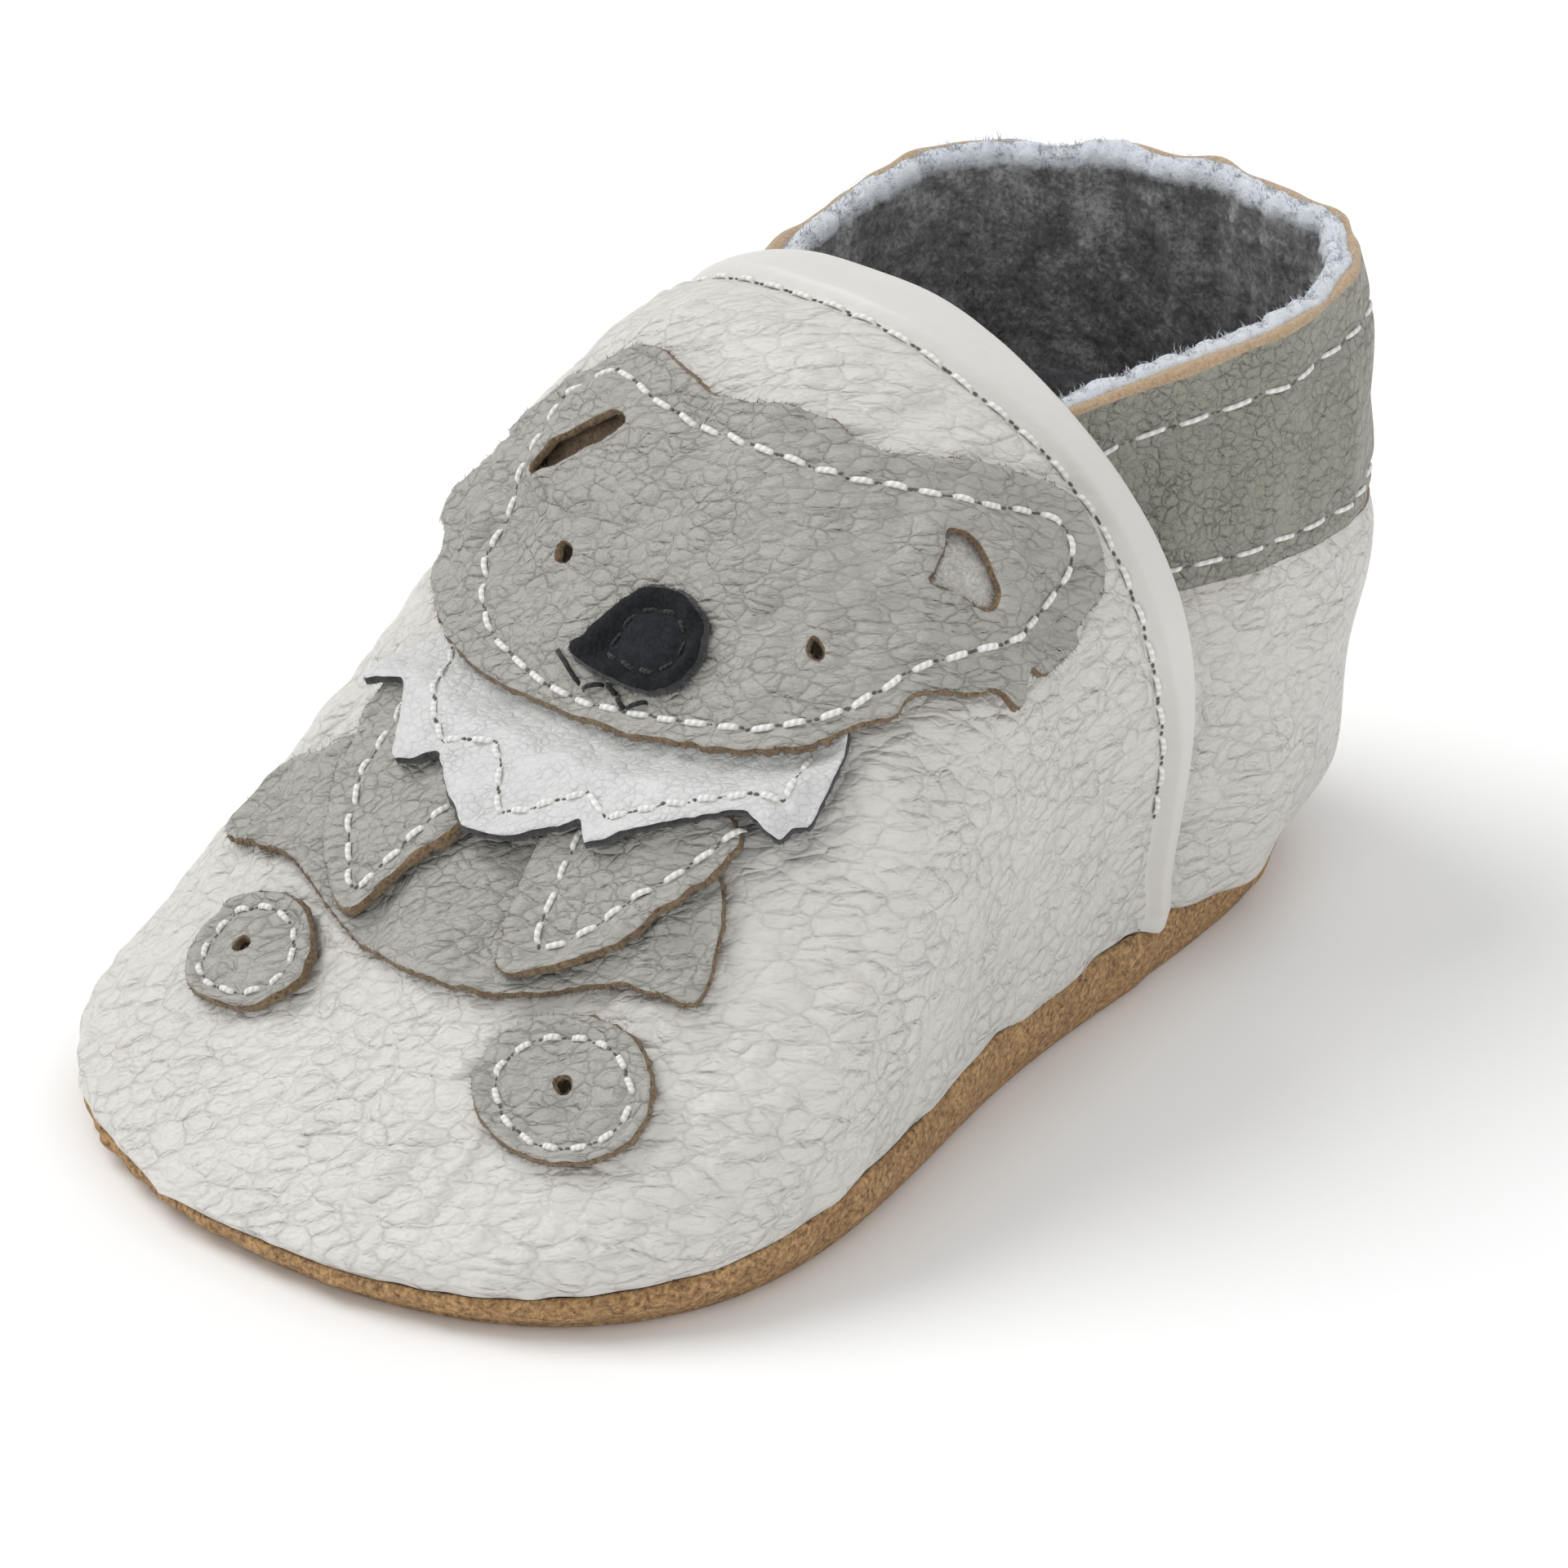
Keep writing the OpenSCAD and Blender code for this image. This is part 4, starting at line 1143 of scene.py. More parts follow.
@dataclass
class Patch:
    """A piece of leather cut to an outline and sewn flat on the vamp.

    Lines on it are pairs of v and a, the vamp's two measures; lengths are millimetres.

    Attributes:
        outline: where it is cut.
        under: height of what it lies on, from v and a.
        finish: finish of its upper side.
        cut: finish of its cut edge and its back.
        corners: how the knife rounds its corners.
        holes: outlines of the windows cut in it.
        punched: outlines of its punched holes, whose bottoms show brown fibres and painted
            shade.
        grooves: lines along which thread pulls it down.
        hairs: how many fibres stand out of its cut edge.
        curl: how unevenly its edge lifts.
        lifted: how far its edge lifts.
        middle: finish inside its first groove, where that differs.
    """

    last: Last
    name: str
    node: str
    slot: str
    outline: Path
    under: Callable[[Array, Array], Array]
    finish: Finish = Finish.GREY
    cut: Finish = Finish.CUT
    corners: Corners = Corners.SOFT
    holes: Sequence[Path] = ()
    punched: Sequence[Array] = ()
    grooves: Sequence[Path] = ()
    thick: float = PATCH
    mesh_mm: float = 0.55
    seed: int = 1
    hairs: int = 0
    groove_depth: float = 0.2
    curl: float = 0.12
    lifted: float = 0.4
    middle: Optional[Finish] = None

    def laid(self, va: Array, lift: Array) -> Array:
        """Points at heights above the leather, from pairs of v and a."""
        return self.last.on_leather(va[:, 0], va[:, 1], lift)

    def margin(self, q: Array) -> Array:
        """Distance from points on the flat pattern to the nearest cut edge."""
        return np.min([away(q, loop, True) for loop in self.loops()], axis=0)

    def scale(self) -> tuple[Array, Array]:
        """Millimetres per unit of v and per degree at the patch's middle.

        Returns:
            The middle's v and a, and the two lengths.
        """
        o = np.asarray(self.outline, float)
        v, a = (o.max(0) + o.min(0)) / 2
        kv = np.linalg.norm(self.last.vamp(v + 0.01, a) - self.last.vamp(v - 0.01, a)) / 0.02
        ka = np.linalg.norm(self.last.vamp(v, a + 1) - self.last.vamp(v, a - 1)) / 2
        return np.array([v, a]), np.array([kv, ka])

    def flat(self, q: Array) -> Array:
        """Surface measures to a flat cutting pattern, x to the side and y up the vamp."""
        mid, k = self.scale()
        d = (np.asarray(q, float) - mid) * k
        return np.stack([-d[..., 1], d[..., 0]], -1)

    def back(self, p: Array) -> Array:
        """The flat pattern to surface measures."""
        mid, k = self.scale()
        return np.stack([p[..., 1], -p[..., 0]], -1) / k + mid

    def loops(self) -> list[Array]:
        """Outline and holes as even, slightly wavy lines on the flat pattern.

        Returns:
            The outline, which turns left, and the holes, which turn right.
        """
        times, cut = self.corners.value
        out = []
        for n, line in enumerate([self.outline, *self.holes, *self.punched]):
            p = evenly(rounded(self.flat(line), times if n == 0 else 2, cut if n == 0 else 0.2),
                       self.mesh_mm * 0.8)
            p3 = np.c_[p, np.zeros(len(p))]
            p = p + 0.05 * np.stack([ripple(p3, 1.7, self.seed + n),
                                     ripple(p3, 1.9, self.seed + n + 50)], -1)
            area = (p[:, 0] * np.roll(p[:, 1], -1) - p[:, 1] * np.roll(p[:, 0], -1)).sum()
            out.append(p if (area > 0) == (n == 0) else p[::-1])
        return out

    def inside(self, p: Array, loop: Array) -> Array:
        """Which points lie inside a loop, by counting crossings.

        Args:
            p: points on the flat pattern.
            loop: points of the loop.

        Returns:
            True for each point inside.
        """
        a, b = loop, np.roll(loop, -1, axis=0)
        x, y = p[:, 0, None], p[:, 1, None]
        cross = (a[:, 1] > y) != (b[:, 1] > y)
        at = a[:, 0] + (y - a[:, 1]) / (b[:, 1] - a[:, 1] + 1e-12) * (b[:, 0] - a[:, 0])
        return (cross & (x < at)).sum(1) % 2 == 1

    def top_at(self, va: Array) -> Array:
        """Height of the patch's upper side.

        Args:
            va: points on it, as pairs of v and a.

        Returns:
            One height per point.
        """
        q = self.flat(va)
        return self.heights(q, self.margin(q), va)[1]

    def triangles(self) -> tuple[Array, Array, Array]:
        """Cuts the pattern into even triangles.

        Returns:
            Flat points, triangles, and each point's distance from the nearest cut edge.
        """
        loops = self.loops()
        h, row_gap, clear = self.mesh_mm, 0.866, 0.45
        lo, hi = loops[0].min(0), loops[0].max(0)
        x, y = np.meshgrid(np.arange(lo[0], hi[0], h), np.arange(lo[1], hi[1], h * row_gap))
        x = x + (np.arange(len(x)) % 2 * h / 2)[:, None]
        p = np.stack([x.ravel(), y.ravel()], -1)
        keep = self.inside(p, loops[0])
        for loop in loops[1:]:
            keep &= ~self.inside(p, loop)
        p = p[keep]
        p = p[self.margin(p) > clear * h]
        start = np.cumsum([0] + [len(loop) for loop in loops])
        pts = np.vstack([*loops, p])
        rims = [list(range(start[i], start[i + 1])) for i in range(len(loops))]
        edges = [(r[i], r[(i + 1) % len(r)]) for r in rims for i in range(len(r))]
        got = delaunay_2d_cdt([Vector(q) for q in pts], edges, [rims[0]], 1, 1e-5)
        q = np.array([tuple(c) for c in got[0]])
        t = np.array([f for f in got[2] if len(f) == 3])
        mid = q[t].mean(1)
        for loop in loops[1:]:
            t = t[~self.inside(mid, loop)]
            mid = q[t].mean(1)
        used = np.unique(t)
        index = np.full(len(q), -1)
        index[used] = np.arange(len(used))
        q, t = q[used], index[t]
        d = q[t]
        turn = np.cross(d[:, 1] - d[:, 0], d[:, 2] - d[:, 0])
        t[turn < 0] = t[turn < 0][:, ::-1]
        return q, t, self.margin(q)

    def heights(self, q: Array, d: Array, va: Array) -> tuple[Array, Array]:
        """Under and upper side above the vamp.

        The edge lifts with a bell curve, and each groove is a bell curve down with a lower
        one up on both its sides.

        Args:
            q: points on the flat pattern.
            d: their distances from the nearest cut edge.
            va: the same points as pairs of v and a.

        Returns:
            Heights of the under side and of the upper side.
        """
        p3 = np.c_[q, np.zeros(len(q))]
        lifted = self.lifted + self.curl * ripple(p3, 7, self.seed + 5)
        lifted = np.maximum(lifted, 0.0) * np.exp(-((d / 1.1) ** 2))
        under = self.under(va[:, 0], va[:, 1]) + lifted
        top = under + self.thick * (1 - 0.12 * np.exp(-((d / 0.4) ** 2)))
        top = top + 0.07 * ripple(p3, 5.5, self.seed + 9) + 0.03 * ripple(p3, 2.1, self.seed)
        for line in self.grooves:
            far = away(q, self.flat(line))
            top = (top - self.groove_depth * np.exp(-((far / 0.6) ** 2))
                   + 0.12 * np.exp(-(((far - 1.5) / 0.9) ** 2)))
        return under, np.maximum(top, under + 0.3)

    def build(self) -> bpy.types.Object:
        """Cuts, thickens and lays the patch, and lets its cut edge fray.

        Returns:
            The piece.
        """
        q, t, d = self.triangles()
        va = self.back(q)
        under, top = self.heights(q, d, va)
        n = len(q)
        # the rim is made of the triangle sides that no second triangle shares
        e = np.concatenate([t[:, [0, 1]], t[:, [1, 2]], t[:, [2, 0]]])
        key = np.sort(e, 1)
        _, first, count = np.unique(key[:, 0] * n + key[:, 1], return_index=True,
                                    return_counts=True)
        rim = e[first[count == 1]]
        ids = np.unique(rim)
        slot = np.full(n, -1)
        slot[ids] = np.arange(len(ids))
        along = np.zeros((n, 2))
        np.add.at(along, rim[:, 0], q[rim[:, 1]] - q[rim[:, 0]])
        np.add.at(along, rim[:, 1], q[rim[:, 1]] - q[rim[:, 0]])
        out2 = unit(np.stack([along[:, 1], -along[:, 0]], -1))[ids]
        # half way down, the cut edge bulges by a slightly uneven amount
        rng = np.random.default_rng(self.seed)
        push = 0.26 + 0.08 * rng.normal(size=len(ids))
        wide = self.back(q[ids] + out2 * push[:, None])
        half = under[ids] * 0.6 + top[ids] * 0.4
        pts = np.vstack([self.laid(va, top), self.laid(va, under), self.laid(wide, half)])
        a, b = rim[:, 0], rim[:, 1]
        ma, mb = slot[a] + 2 * n, slot[b] + 2 * n
        walls = np.vstack([np.stack([a, ma, mb, b], -1), np.stack([ma, a + n, b + n, mb], -1)])
        tris = np.vstack([t, t[:, ::-1] + n])
        faces = np.vstack([np.c_[tris, np.full(len(tris), -1)], walls])
        finish = np.r_[np.zeros(len(t), int), np.ones(len(t) + len(walls), int)]
        mesh = Mesh(pts, faces, None, finish)
        for line in self.punched:
            mesh = mesh.joined(self.floor(line))
        if self.hairs:
            mesh = mesh.joined(self.fray(q[ids], out2, va[ids], under[ids], top[ids]))
        finishes = [self.finish, self.cut, self.middle or Finish.PIT]
        if self.middle:
            mesh.finish[:len(t)][self.inside(q[t].mean(1), self.flat(self.grooves[0]))] = 2
        ob = mesh.piece(self.name, finishes)
        place(ob, self.node)
        return ob

    def floor(self, line: Array) -> Mesh:
        """Loose flesh fibres pushed down in a punched hole, darkened as painted shade: a shallow
        brown cup.

        Args:
            line: the hole's outline, as pairs of v and a.

        Returns:
            Shrinking rings that sink towards the middle, closed below; finish 2.
        """
        mid = line.mean(0)
        n = len(line)
        rings = [mid + (line - mid) * k for k in (1.12, 0.75, 0.4)]
        va = np.vstack([*rings, mid[None]])
        base = self.under(va[:, 0], va[:, 1])
        high = np.r_[np.full(n, 0.42), np.full(n, 0.16), np.full(n, 0.08), 0.06]
        top, low = self.laid(va, base + high), self.laid(va, base + 0.02)
        i = np.arange(n)
        j = (i + 1) % n
        f = [np.stack([r * n + i, r * n + j, r * n + n + j, r * n + n + i], -1)
             for r in (0, 1)]
        f.append(np.stack([2 * n + i, 2 * n + j, np.full(n, 3 * n), np.full(n, -1)], -1))
        f = np.vstack(f)
        m = len(va)
        under = np.where(f[:, ::-1] < 0, -1, f[:, ::-1] + m)
        under = np.where((f[:, 3:] < 0), np.c_[f[:, 2] + m, f[:, 1] + m, f[:, 0] + m, f[:, 3]],
                         under)
        wall = np.stack([j, i, i + m, j + m], -1)
        p = np.vstack([top, low])
        side = np.cross(p[f[0, 1]] - p[f[0, 0]], p[f[0, 3]] - p[f[0, 0]])
        faces = np.vstack([f, under, wall])
        if side @ self.last.vamp_out(*mid) < 0:
            tri = faces[:, 3] < 0
            faces = np.where(tri[:, None], faces[:, [2, 1, 0, 3]], faces[:, ::-1])
        return Mesh(p, faces, None, np.full(len(faces), 2))

    def fray(self, q: Array, out2: Array, va: Array, under: Array, top: Array) -> Mesh:
        """Loose fibres that stand out of the cut edge.

        Args:
            q: points of the edge on the flat pattern.
            out2: directions out of the edge there.
            va: the same points as pairs of v and a.
            under: height of the under side there.
            top: height of the upper side there.

        Returns:
            All the fibres, with finish 1.
        """
        rng = np.random.default_rng(self.seed + 77)
        k = rng.integers(0, len(q), self.hairs)
        rim = np.flatnonzero(away(q, self.loops()[0], True) > 0.3)
        if len(rim):
            k[::5] = rng.choice(rim, len(k[::5]))
        rise = rng.uniform(0.05, 0.95, self.hairs)
        h = under[k] + (top[k] - under[k]) * rise
        root = self.laid(va[k], h)
        far = self.back(q[k] + out2[k] + 0.8 * rng.normal(size=(self.hairs, 2)))
        tip = self.laid(far, h + 0.5 * rng.normal(size=self.hairs))
        head = unit(tip - root) * rng.uniform(0.25, 0.75, (self.hairs, 1))
        hair = fibres(root - 0.1 * head, head, 0.035, self.seed)
        return Mesh(hair.points, hair.faces, None, np.ones(len(hair.faces), int))


# --- sewing
@dataclass
class Sewing:
    """A row of stitches: threads that rise from one needle hole and dive into the next.

    Attributes:
        shown: share of the pitch that the thread shows.
        rise: how high the thread's crown stands above the leather.
        holes: whether needle holes show.
    """

    name: str
    node: str
    slot: str
    finish: Finish = Finish.PALE_THREAD
    pitch: float = 3.3
    radius: float = 0.3
    shown: float = 0.78
    rise: float = 0.24
    holes: bool = True
    seed: int = 3

    def threads(self, line: Array, out: Array) -> Mesh:
        """Stitches along one line.

        Args:
            line: points on the surface, in millimetres.
            out: surface normals at them.

        Returns:
            Threads as finish 0 and needle holes as finish 1.
        """
        run = np.r_[0, np.cumsum(np.linalg.norm(np.diff(line, axis=0), axis=1))]
        n = max(1, int(round(run[-1] / self.pitch)))
        rng = np.random.default_rng(self.seed)
        rows, sides, dive, squash = 7, 6, 0.42, 0.85
        s = np.linspace(0, 1, rows)
        gap = (1 - self.shown) / 2
        jitter = rng.normal(size=(n, 1)) * 0.03
        at = (np.arange(n)[:, None] + gap + jitter + s * self.shown) / n * run[-1]

        def along(x: Array, of: Array) -> Array:
            """The line's own values, between its points."""
            return np.stack([np.interp(x, run, of[:, k]) for k in range(3)], -1)

        p, up = along(at, line), unit(along(at, out))
        lift = self.rise * (np.sin(math.pi * s) ** 0.6) - dive * (
            np.exp(-((s / 0.1) ** 2)) + np.exp(-(((1 - s) / 0.1) ** 2)))
        d = unit(np.gradient(p, axis=1))
        side = unit(np.cross(up, d))
        slant = rng.normal(size=(n, 1, 1)) * 0.09
        p = p + up * lift[:, None] + side * slant * (s[:, None] - 0.5) * 2
        k = np.arange(sides) * 2 * math.pi / sides
        r = self.radius * (0.8 + 0.2 * np.sin(math.pi * s))[None, :, None, None]
        tube = p[:, :, None] + r * (side[:, :, None] * np.cos(k)[:, None]
                                    + up[:, :, None] * squash * np.sin(k)[:, None])
        one = grid_faces(rows, sides, wrap_cols=True)
        caps = np.array([[0, 1, 2, 3], [0, 3, 4, 5]])
        one = np.vstack([one, caps, (caps + (rows - 1) * sides)[:, ::-1]])
        faces = (one[None] + rows * sides * np.arange(n)[:, None, None]).reshape(-1, 4)
        uv = np.stack(np.broadcast_arrays(k / (2 * math.pi), s[:, None]), -1)
        mesh = Mesh(tube.reshape(-1, 3), faces, np.tile(uv.reshape(-1, 2), (n, 1)))
        if not self.holes:
            return mesh
        ends = np.vstack([p[:, 0] - up[:, 0] * lift[0], p[:, -1] - up[:, -1] * lift[-1]])
        return mesh.joined(self.needle_holes(ends, np.vstack([up[:, 0], up[:, -1]]),
                                             np.vstack([-d[:, 0], d[:, -1]])))

    def needle_holes(self, at: Array, out: Array, ahead: Array) -> Mesh:
        """Dark dimples of painted shade: an oval ring round each hole, closed by a point above
        and one below.

        Args:
            at: where threads dive, on the surface.
            out: surface normals there.
            ahead: directions away from the thread.

        Returns:
            All the holes, with finish 1.
        """
        sides, wide, longer = 6, 0.18, 1.4
        k = np.arange(sides) * 2 * math.pi / sides
        at = at + ahead * 0.1
        rim = at[:, None] + wide * (ahead[:, None] * np.cos(k)[:, None] * longer + np.cross(
            out, ahead)[:, None] * np.sin(k)[:, None]) + out[:, None] * 0.03
        low, crown = at - out * 0.25, at + out * 0.05
        pts = np.concatenate([rim, crown[:, None], low[:, None]], 1).reshape(-1, 3)
        a = np.arange(sides)
        b = (a + 1) % sides
        one = np.vstack([np.stack([a, b, np.full(sides, sides)], -1),
                         np.stack([b, a, np.full(sides, sides + 1)], -1)])
        f = (one[None] + (sides + 2) * np.arange(len(at))[:, None, None]).reshape(-1, 3)
        return Mesh(pts, f, None, np.ones(len(f), int))

    def on_vamp(self, last: Last, rows: Iterable[tuple[Path, Callable[[Array], Array]]]
                ) -> bpy.types.Object:
        """Sews along lines on the vamp.

        Args:
            last: the shoe's shape.
            rows: for each line, its points and the height of what it holds down.

        Returns:
            The piece with all the stitches.
        """
        mesh = None
        mm = (100, 1)  # brings v and a to about the same measure, a millimetre or less
        for path, height in rows:
            q = evenly(rounded(np.asarray(path, float) * mm, 2, 0.2, False), 0.35, False) / mm
            m = self.threads(last.on_leather(q[:, 0], q[:, 1], height(q)),
                             last.vamp_out(q[:, 0], q[:, 1]))
            mesh = m if mesh is None else mesh.joined(m)
        return self.finished(mesh)

    def finished(self, mesh: Mesh) -> bpy.types.Object:
        """Makes the object and hides the CAD node that it stands for.

        Args:
            mesh: all its threads and needle holes.

        Returns:
            The piece.
        """
        ob = mesh.piece(self.name, [self.finish, Finish.NEEDLE_HOLE])
        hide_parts(self.node)
        return ob


# --- upper
@dataclass
class Vamp:
    """Front of the upper: leather with a turned throat edge, and its plush lining.

    Attributes:
        fine_from: where the rows come closer together, for the turned edge.
        turn_rows: rows of points over the edge.
    """

    last: Last
    rows: int = 225
    cols: int = 205
    fine_from: float = 0.89
    turn_rows: int = 6

    def build(self) -> None:
        """Makes the leather, whose finish turns smooth past the thread, and the lining."""
        last = self.last
        far = self.rows * 2 // 3
        t = np.r_[np.linspace(0, self.fine_from, far, endpoint=False),
                  np.linspace(self.fine_from, 1, self.rows - far)]
        v = (0.004 + 0.989 * t)[:, None]
        a = np.linspace(0, 180, self.cols)[None]
        v, a = np.broadcast_arrays(v, a)
        out = last.vamp_out(v, a)
        high = last.relief(v, a)
        outer = last.on_vamp(v, a, high)
        inner = last.on_vamp(v, a, 0 * high - LEATHER)
        along = self.off_the_edge(v[-1], a[-1])
        thick = LEATHER + high[-1][:, None]
        turn = rim_turn(outer[-1], out[-1], along, 1.0, self.turn_rows)
        turn = outer[-1] + (turn - outer[-1]) * thick
        mesh = folded(outer, turn, inner, False, t)
        round_rows = 2 * self.rows + self.turn_rows
        col = np.tile(np.arange(self.cols - 1), round_rows)
        row = np.repeat(np.arange(round_rows), self.cols - 1)
        edge = last.throat(a[0][col])
        smooth = (row < self.rows) & (v[:, 0][np.minimum(row, self.rows - 1)] > edge)
        grid = len(col)
        mesh.finish[:grid][smooth | (mesh.finish[:grid] == 1)] = 1
        ob = mesh.piece("vamp_leather", [Finish.CREAM, Finish.SMOOTH, Finish.CUT])
        place(ob, "vamp")
        self.lining()

    def off_the_edge(self, v: Array, a: Array) -> Array:
        """Direction in which the leather runs off the throat's edge."""
        return unit(self.last.vamp(v, a) - self.last.vamp(v - 0.01, a))

    def lining(self) -> None:
        """Plush cloth behind the leather: the vamp moved inwards, with ripples for its pile."""
        last = self.last
        t = np.linspace(0, 1, 90)
        v = (0.07 + 0.912 * t)[:, None]
        a = np.linspace(5, 175, 140)[None]
        v, a = np.broadcast_arrays(v, a)
        p = last.vamp(v, a)
        back = -LEATHER - GAP
        pile = 0.14 * ripple(p, 3.2, 21) + 0.1 * ripple(p, 1.6, 22)
        outer = last.on_vamp(v, a, 0 * v + back)
        inner = last.on_vamp(v, a, back - LINING + pile)
        along = self.off_the_edge(v[-1], a[-1])
        turn = rim_turn(outer[-1], last.vamp_out(v[-1], a[-1]), along, LINING, 4)
        mesh = folded(outer, turn, inner, False, 0.9 * t)
        ob = mesh.piece("vamp_plush", [Finish.DEEP_PLUSH] * 3)
        place(ob, "vamp_lining")


@dataclass
class Rear:
    """Heel quarter and gathered ankle band, with elastic and plush behind them.

    Attributes:
        band_low: height of the ankle band's lower edge.
        lower_row: height of the lower row of thread above the band's lower edge.
        upper_row: depth of the upper row below the band's upper edge.
    """

    last: Last
    band_low: float = 37.3
    front_u: float = 0.272
    elastic_t: float = 0.6
    elastic_z: tuple[float, float] = (47, 54)
    lower_row: float = 2.1
    upper_row: float = 4.3
    lining_back: float = field(init=False)

    def __post_init__(self) -> None:
        """Places the plush behind the elastic."""
        self.lining_back = -LEATHER - self.elastic_t - 2 * GAP

    def blend(self, ob: bpy.types.Object, node: str) -> None:
        """Hides the CAD node that a piece stands for and bakes the piece's placement into its
        points.

        Args:
            ob: the piece.
            node: the CAD node that it stands for.
        """
        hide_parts(node)
        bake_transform(ob)

    def wall(self, u: Array, t: Array, lift: Array) -> Array:
        """Rear wall with its gathers."""
        return self.last.on_rear(u, t, lift + self.last.gathers(u, t))

    def layer(self, low: float, high: float, back: float, thick: float, rows: int, cols: int,
              relief: Callable[[Array, Array, Array], Array], front: float, turn_rows: int = 5,
              inner: Optional[Callable[[Array], Array]] = None) -> Mesh:
        """One layer of the rear wall.

        Args:
            low: lower edge in millimetres above the floor, or 0 for the sole seam.
            high: upper edge in millimetres, or 0 for the ankle line.
            back: height of its outside above the leather's outside.
            thick: thickness.
            rows: rows of points upwards.
            cols: columns of points round the heel.
            relief: extra height of the outside from the point and its u and t.
            front: seam measure at which the front ends lie under the vamp.
            turn_rows: rows over the upper rim.
            inner: extra height of the inside, from its points.

        Returns:
            The closed mesh.
        """
        last = self.last
        u = np.linspace(front, 1 - front, cols)[None]
        s = np.linspace(0, 1, rows)[:, None]
        t0 = last.rear_t(u, low) if low else 0.004
        t1 = last.rear_t(u, high) if high else 1.0
        u, t = np.broadcast_arrays(u, t0 + (t1 - t0) * s)
        p = last.rear(u, t)
        add = np.maximum(relief(p, u, t), 0.42 - thick)
        outer = self.wall(u, t, back + add)
        inside = self.wall(u, t, back - thick + (inner(p) if inner else 0 * t))
        edge_out = last.rear_out(u[-1], t[-1])
        turn = rim_turn(outer[-1], edge_out, np.broadcast_to([0, 0, 1.0], outer[-1].shape), 1.0,
                        turn_rows)
        width = size(outer[-1] - inside[-1])[:, None]
        turn = outer[-1] + (turn - outer[-1]) * width
        return folded(outer, turn, inside, True, s[:, 0])

    def quarter(self) -> None:
        """Cream leather of the heel, puckered along the sole and pressed in under the band."""
        def relief(p: Array, u: Array, t: Array) -> Array:
            """Ripples, puckers by the seam, a low bulge, and bell curves down at both edges.

            Args:
                p: points on the wall.
                u: their seam measures.
                t: 0 at the seam, 1 at the ankle line.

            Returns:
                Heights above the wall.
            """
            h = size(p - self.last.rear(u, 0 * t))
            pucker = 0.25 * np.exp(-h / 3.2) * np.cos(u * 250 + 2 * np.sin(u * 60))
            f = np.minimum(u, 1 - u)
            low = 1.3 * np.exp(-(((t - 0.1) / 0.1) ** 2)) * ease(0.36, 0.42, f)
            low = low + 1.7 * self.last.nook(f) * (1 - ease(0, 0.5, t))
            return (0.32 * ripple(p, 19, 31) + 0.1 * ripple(p * (1, 1, 0.45), 8, 32) + pucker
                    + low - 0.3 * np.exp(-((h / 0.8) ** 2))
                    - 0.5 * np.exp(-(((p[..., 2] - self.band_low) / 1.3) ** 2)))

        mesh = self.layer(0, self.band_low - 0.03, 0, LEATHER, 96, 260, relief, self.front_u, 2)
        ob = mesh.piece("heel_quarter_leather", [Finish.CREAM, Finish.CUT, Finish.CUT])
        self.blend(ob, "heel_quarter")

    def band_relief(self, p: Array, u: Array, t: Array) -> Array:
        """Soft surface of the ankle band, pressed in along its two rows of thread.

        Args:
            p: points on the wall.
            u: their seam measures.
            t: 0 at the seam, 1 at the ankle line.

        Returns:
            Ripples less a bell curve for each row and for the lower edge.
        """
        z = p[..., 2]
        top = ring(self.last.ankle_ctrl, u)[..., 2]
        groove = 0.28 * (np.exp(-(((z - self.band_low - self.lower_row) / 0.8) ** 2))
                         + np.exp(-(((z - top + self.upper_row) / 0.8) ** 2)))
        return (0.24 * ripple(p, 15, 41) + 0.12 * ripple(p * (1, 1, 0.5), 6, 42) + 0.1
                - groove - 0.15 * np.exp(-(((z - self.band_low) / 0.5) ** 2)))

    def band(self) -> None:
        """Grey ankle band with a raw upper edge, and the elastic behind it."""
        mesh = self.layer(self.band_low, 0, 0, LEATHER, 60, 320, self.band_relief, self.front_u)
        ob = mesh.piece("ankle_band_leather", [Finish.BAND, Finish.TAN_EDGE, Finish.TAN_EDGE])
        self.blend(ob, "collar_band")
        strip = self.layer(*self.elastic_z, -LEATHER - GAP, self.elastic_t, 10, 160,
                           lambda p, u, t: 0.05 * ripple(p, 3, 43), 0.34, 3)
        ob = strip.piece("ankle_elastic_strip", [Finish.ELASTIC] * 3)
        self.blend(ob, "ankle_elastic")

    def seams(self) -> None:
        """The two rows of thread round the ankle band."""
        u = np.linspace(0.3, 0.7, 420)
        top = ring(self.last.ankle_ctrl, u)[..., 2]
        for name, node, z in (
                ("ankle_lower_seam", "band_bottom_stitches", self.band_low + self.lower_row),
                ("ankle_upper_seam", "band_top_stitches", top - self.upper_row)):
            t = self.last.rear_t(u, z)
            line = self.wall(u, t, self.band_relief(self.last.rear(u, t), u, t) - 0.02)
            sew = Sewing(name, node, "pale_thread", Finish.PALE_THREAD, 4.3, 0.25, 0.84, 0.16)
            ob = sew.finished(sew.threads(line, self.last.rear_out(u, t)))
            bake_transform(ob)

    def plush(self) -> None:
        """Lining of the heel and of the ankle band, with the fleecy rim on top."""
        def pile(p: Array) -> Array:
            """Uneven pile: two ripples."""
            return 0.16 * ripple(p, 3.4, 51) + 0.11 * ripple(p, 1.7, 52)

        low = self.layer(0, self.band_low + 0.2, self.lining_back, LINING + 0.2, 60, 200,
                         lambda p, u, t: 0 * t, 0.285, 4, pile)
        ob = low.piece("quarter_plush", [Finish.DEEP_PLUSH] * 3)
        self.blend(ob, "quarter_lining")

        def flare(p: Array, u: Array, t: Array) -> Array:
            """Outwards over the leather at the rim, with a smooth step."""
            return 1.3 * ease(0.95, 0.985, t) + 0.04 * ripple(p, 2.5, 53)

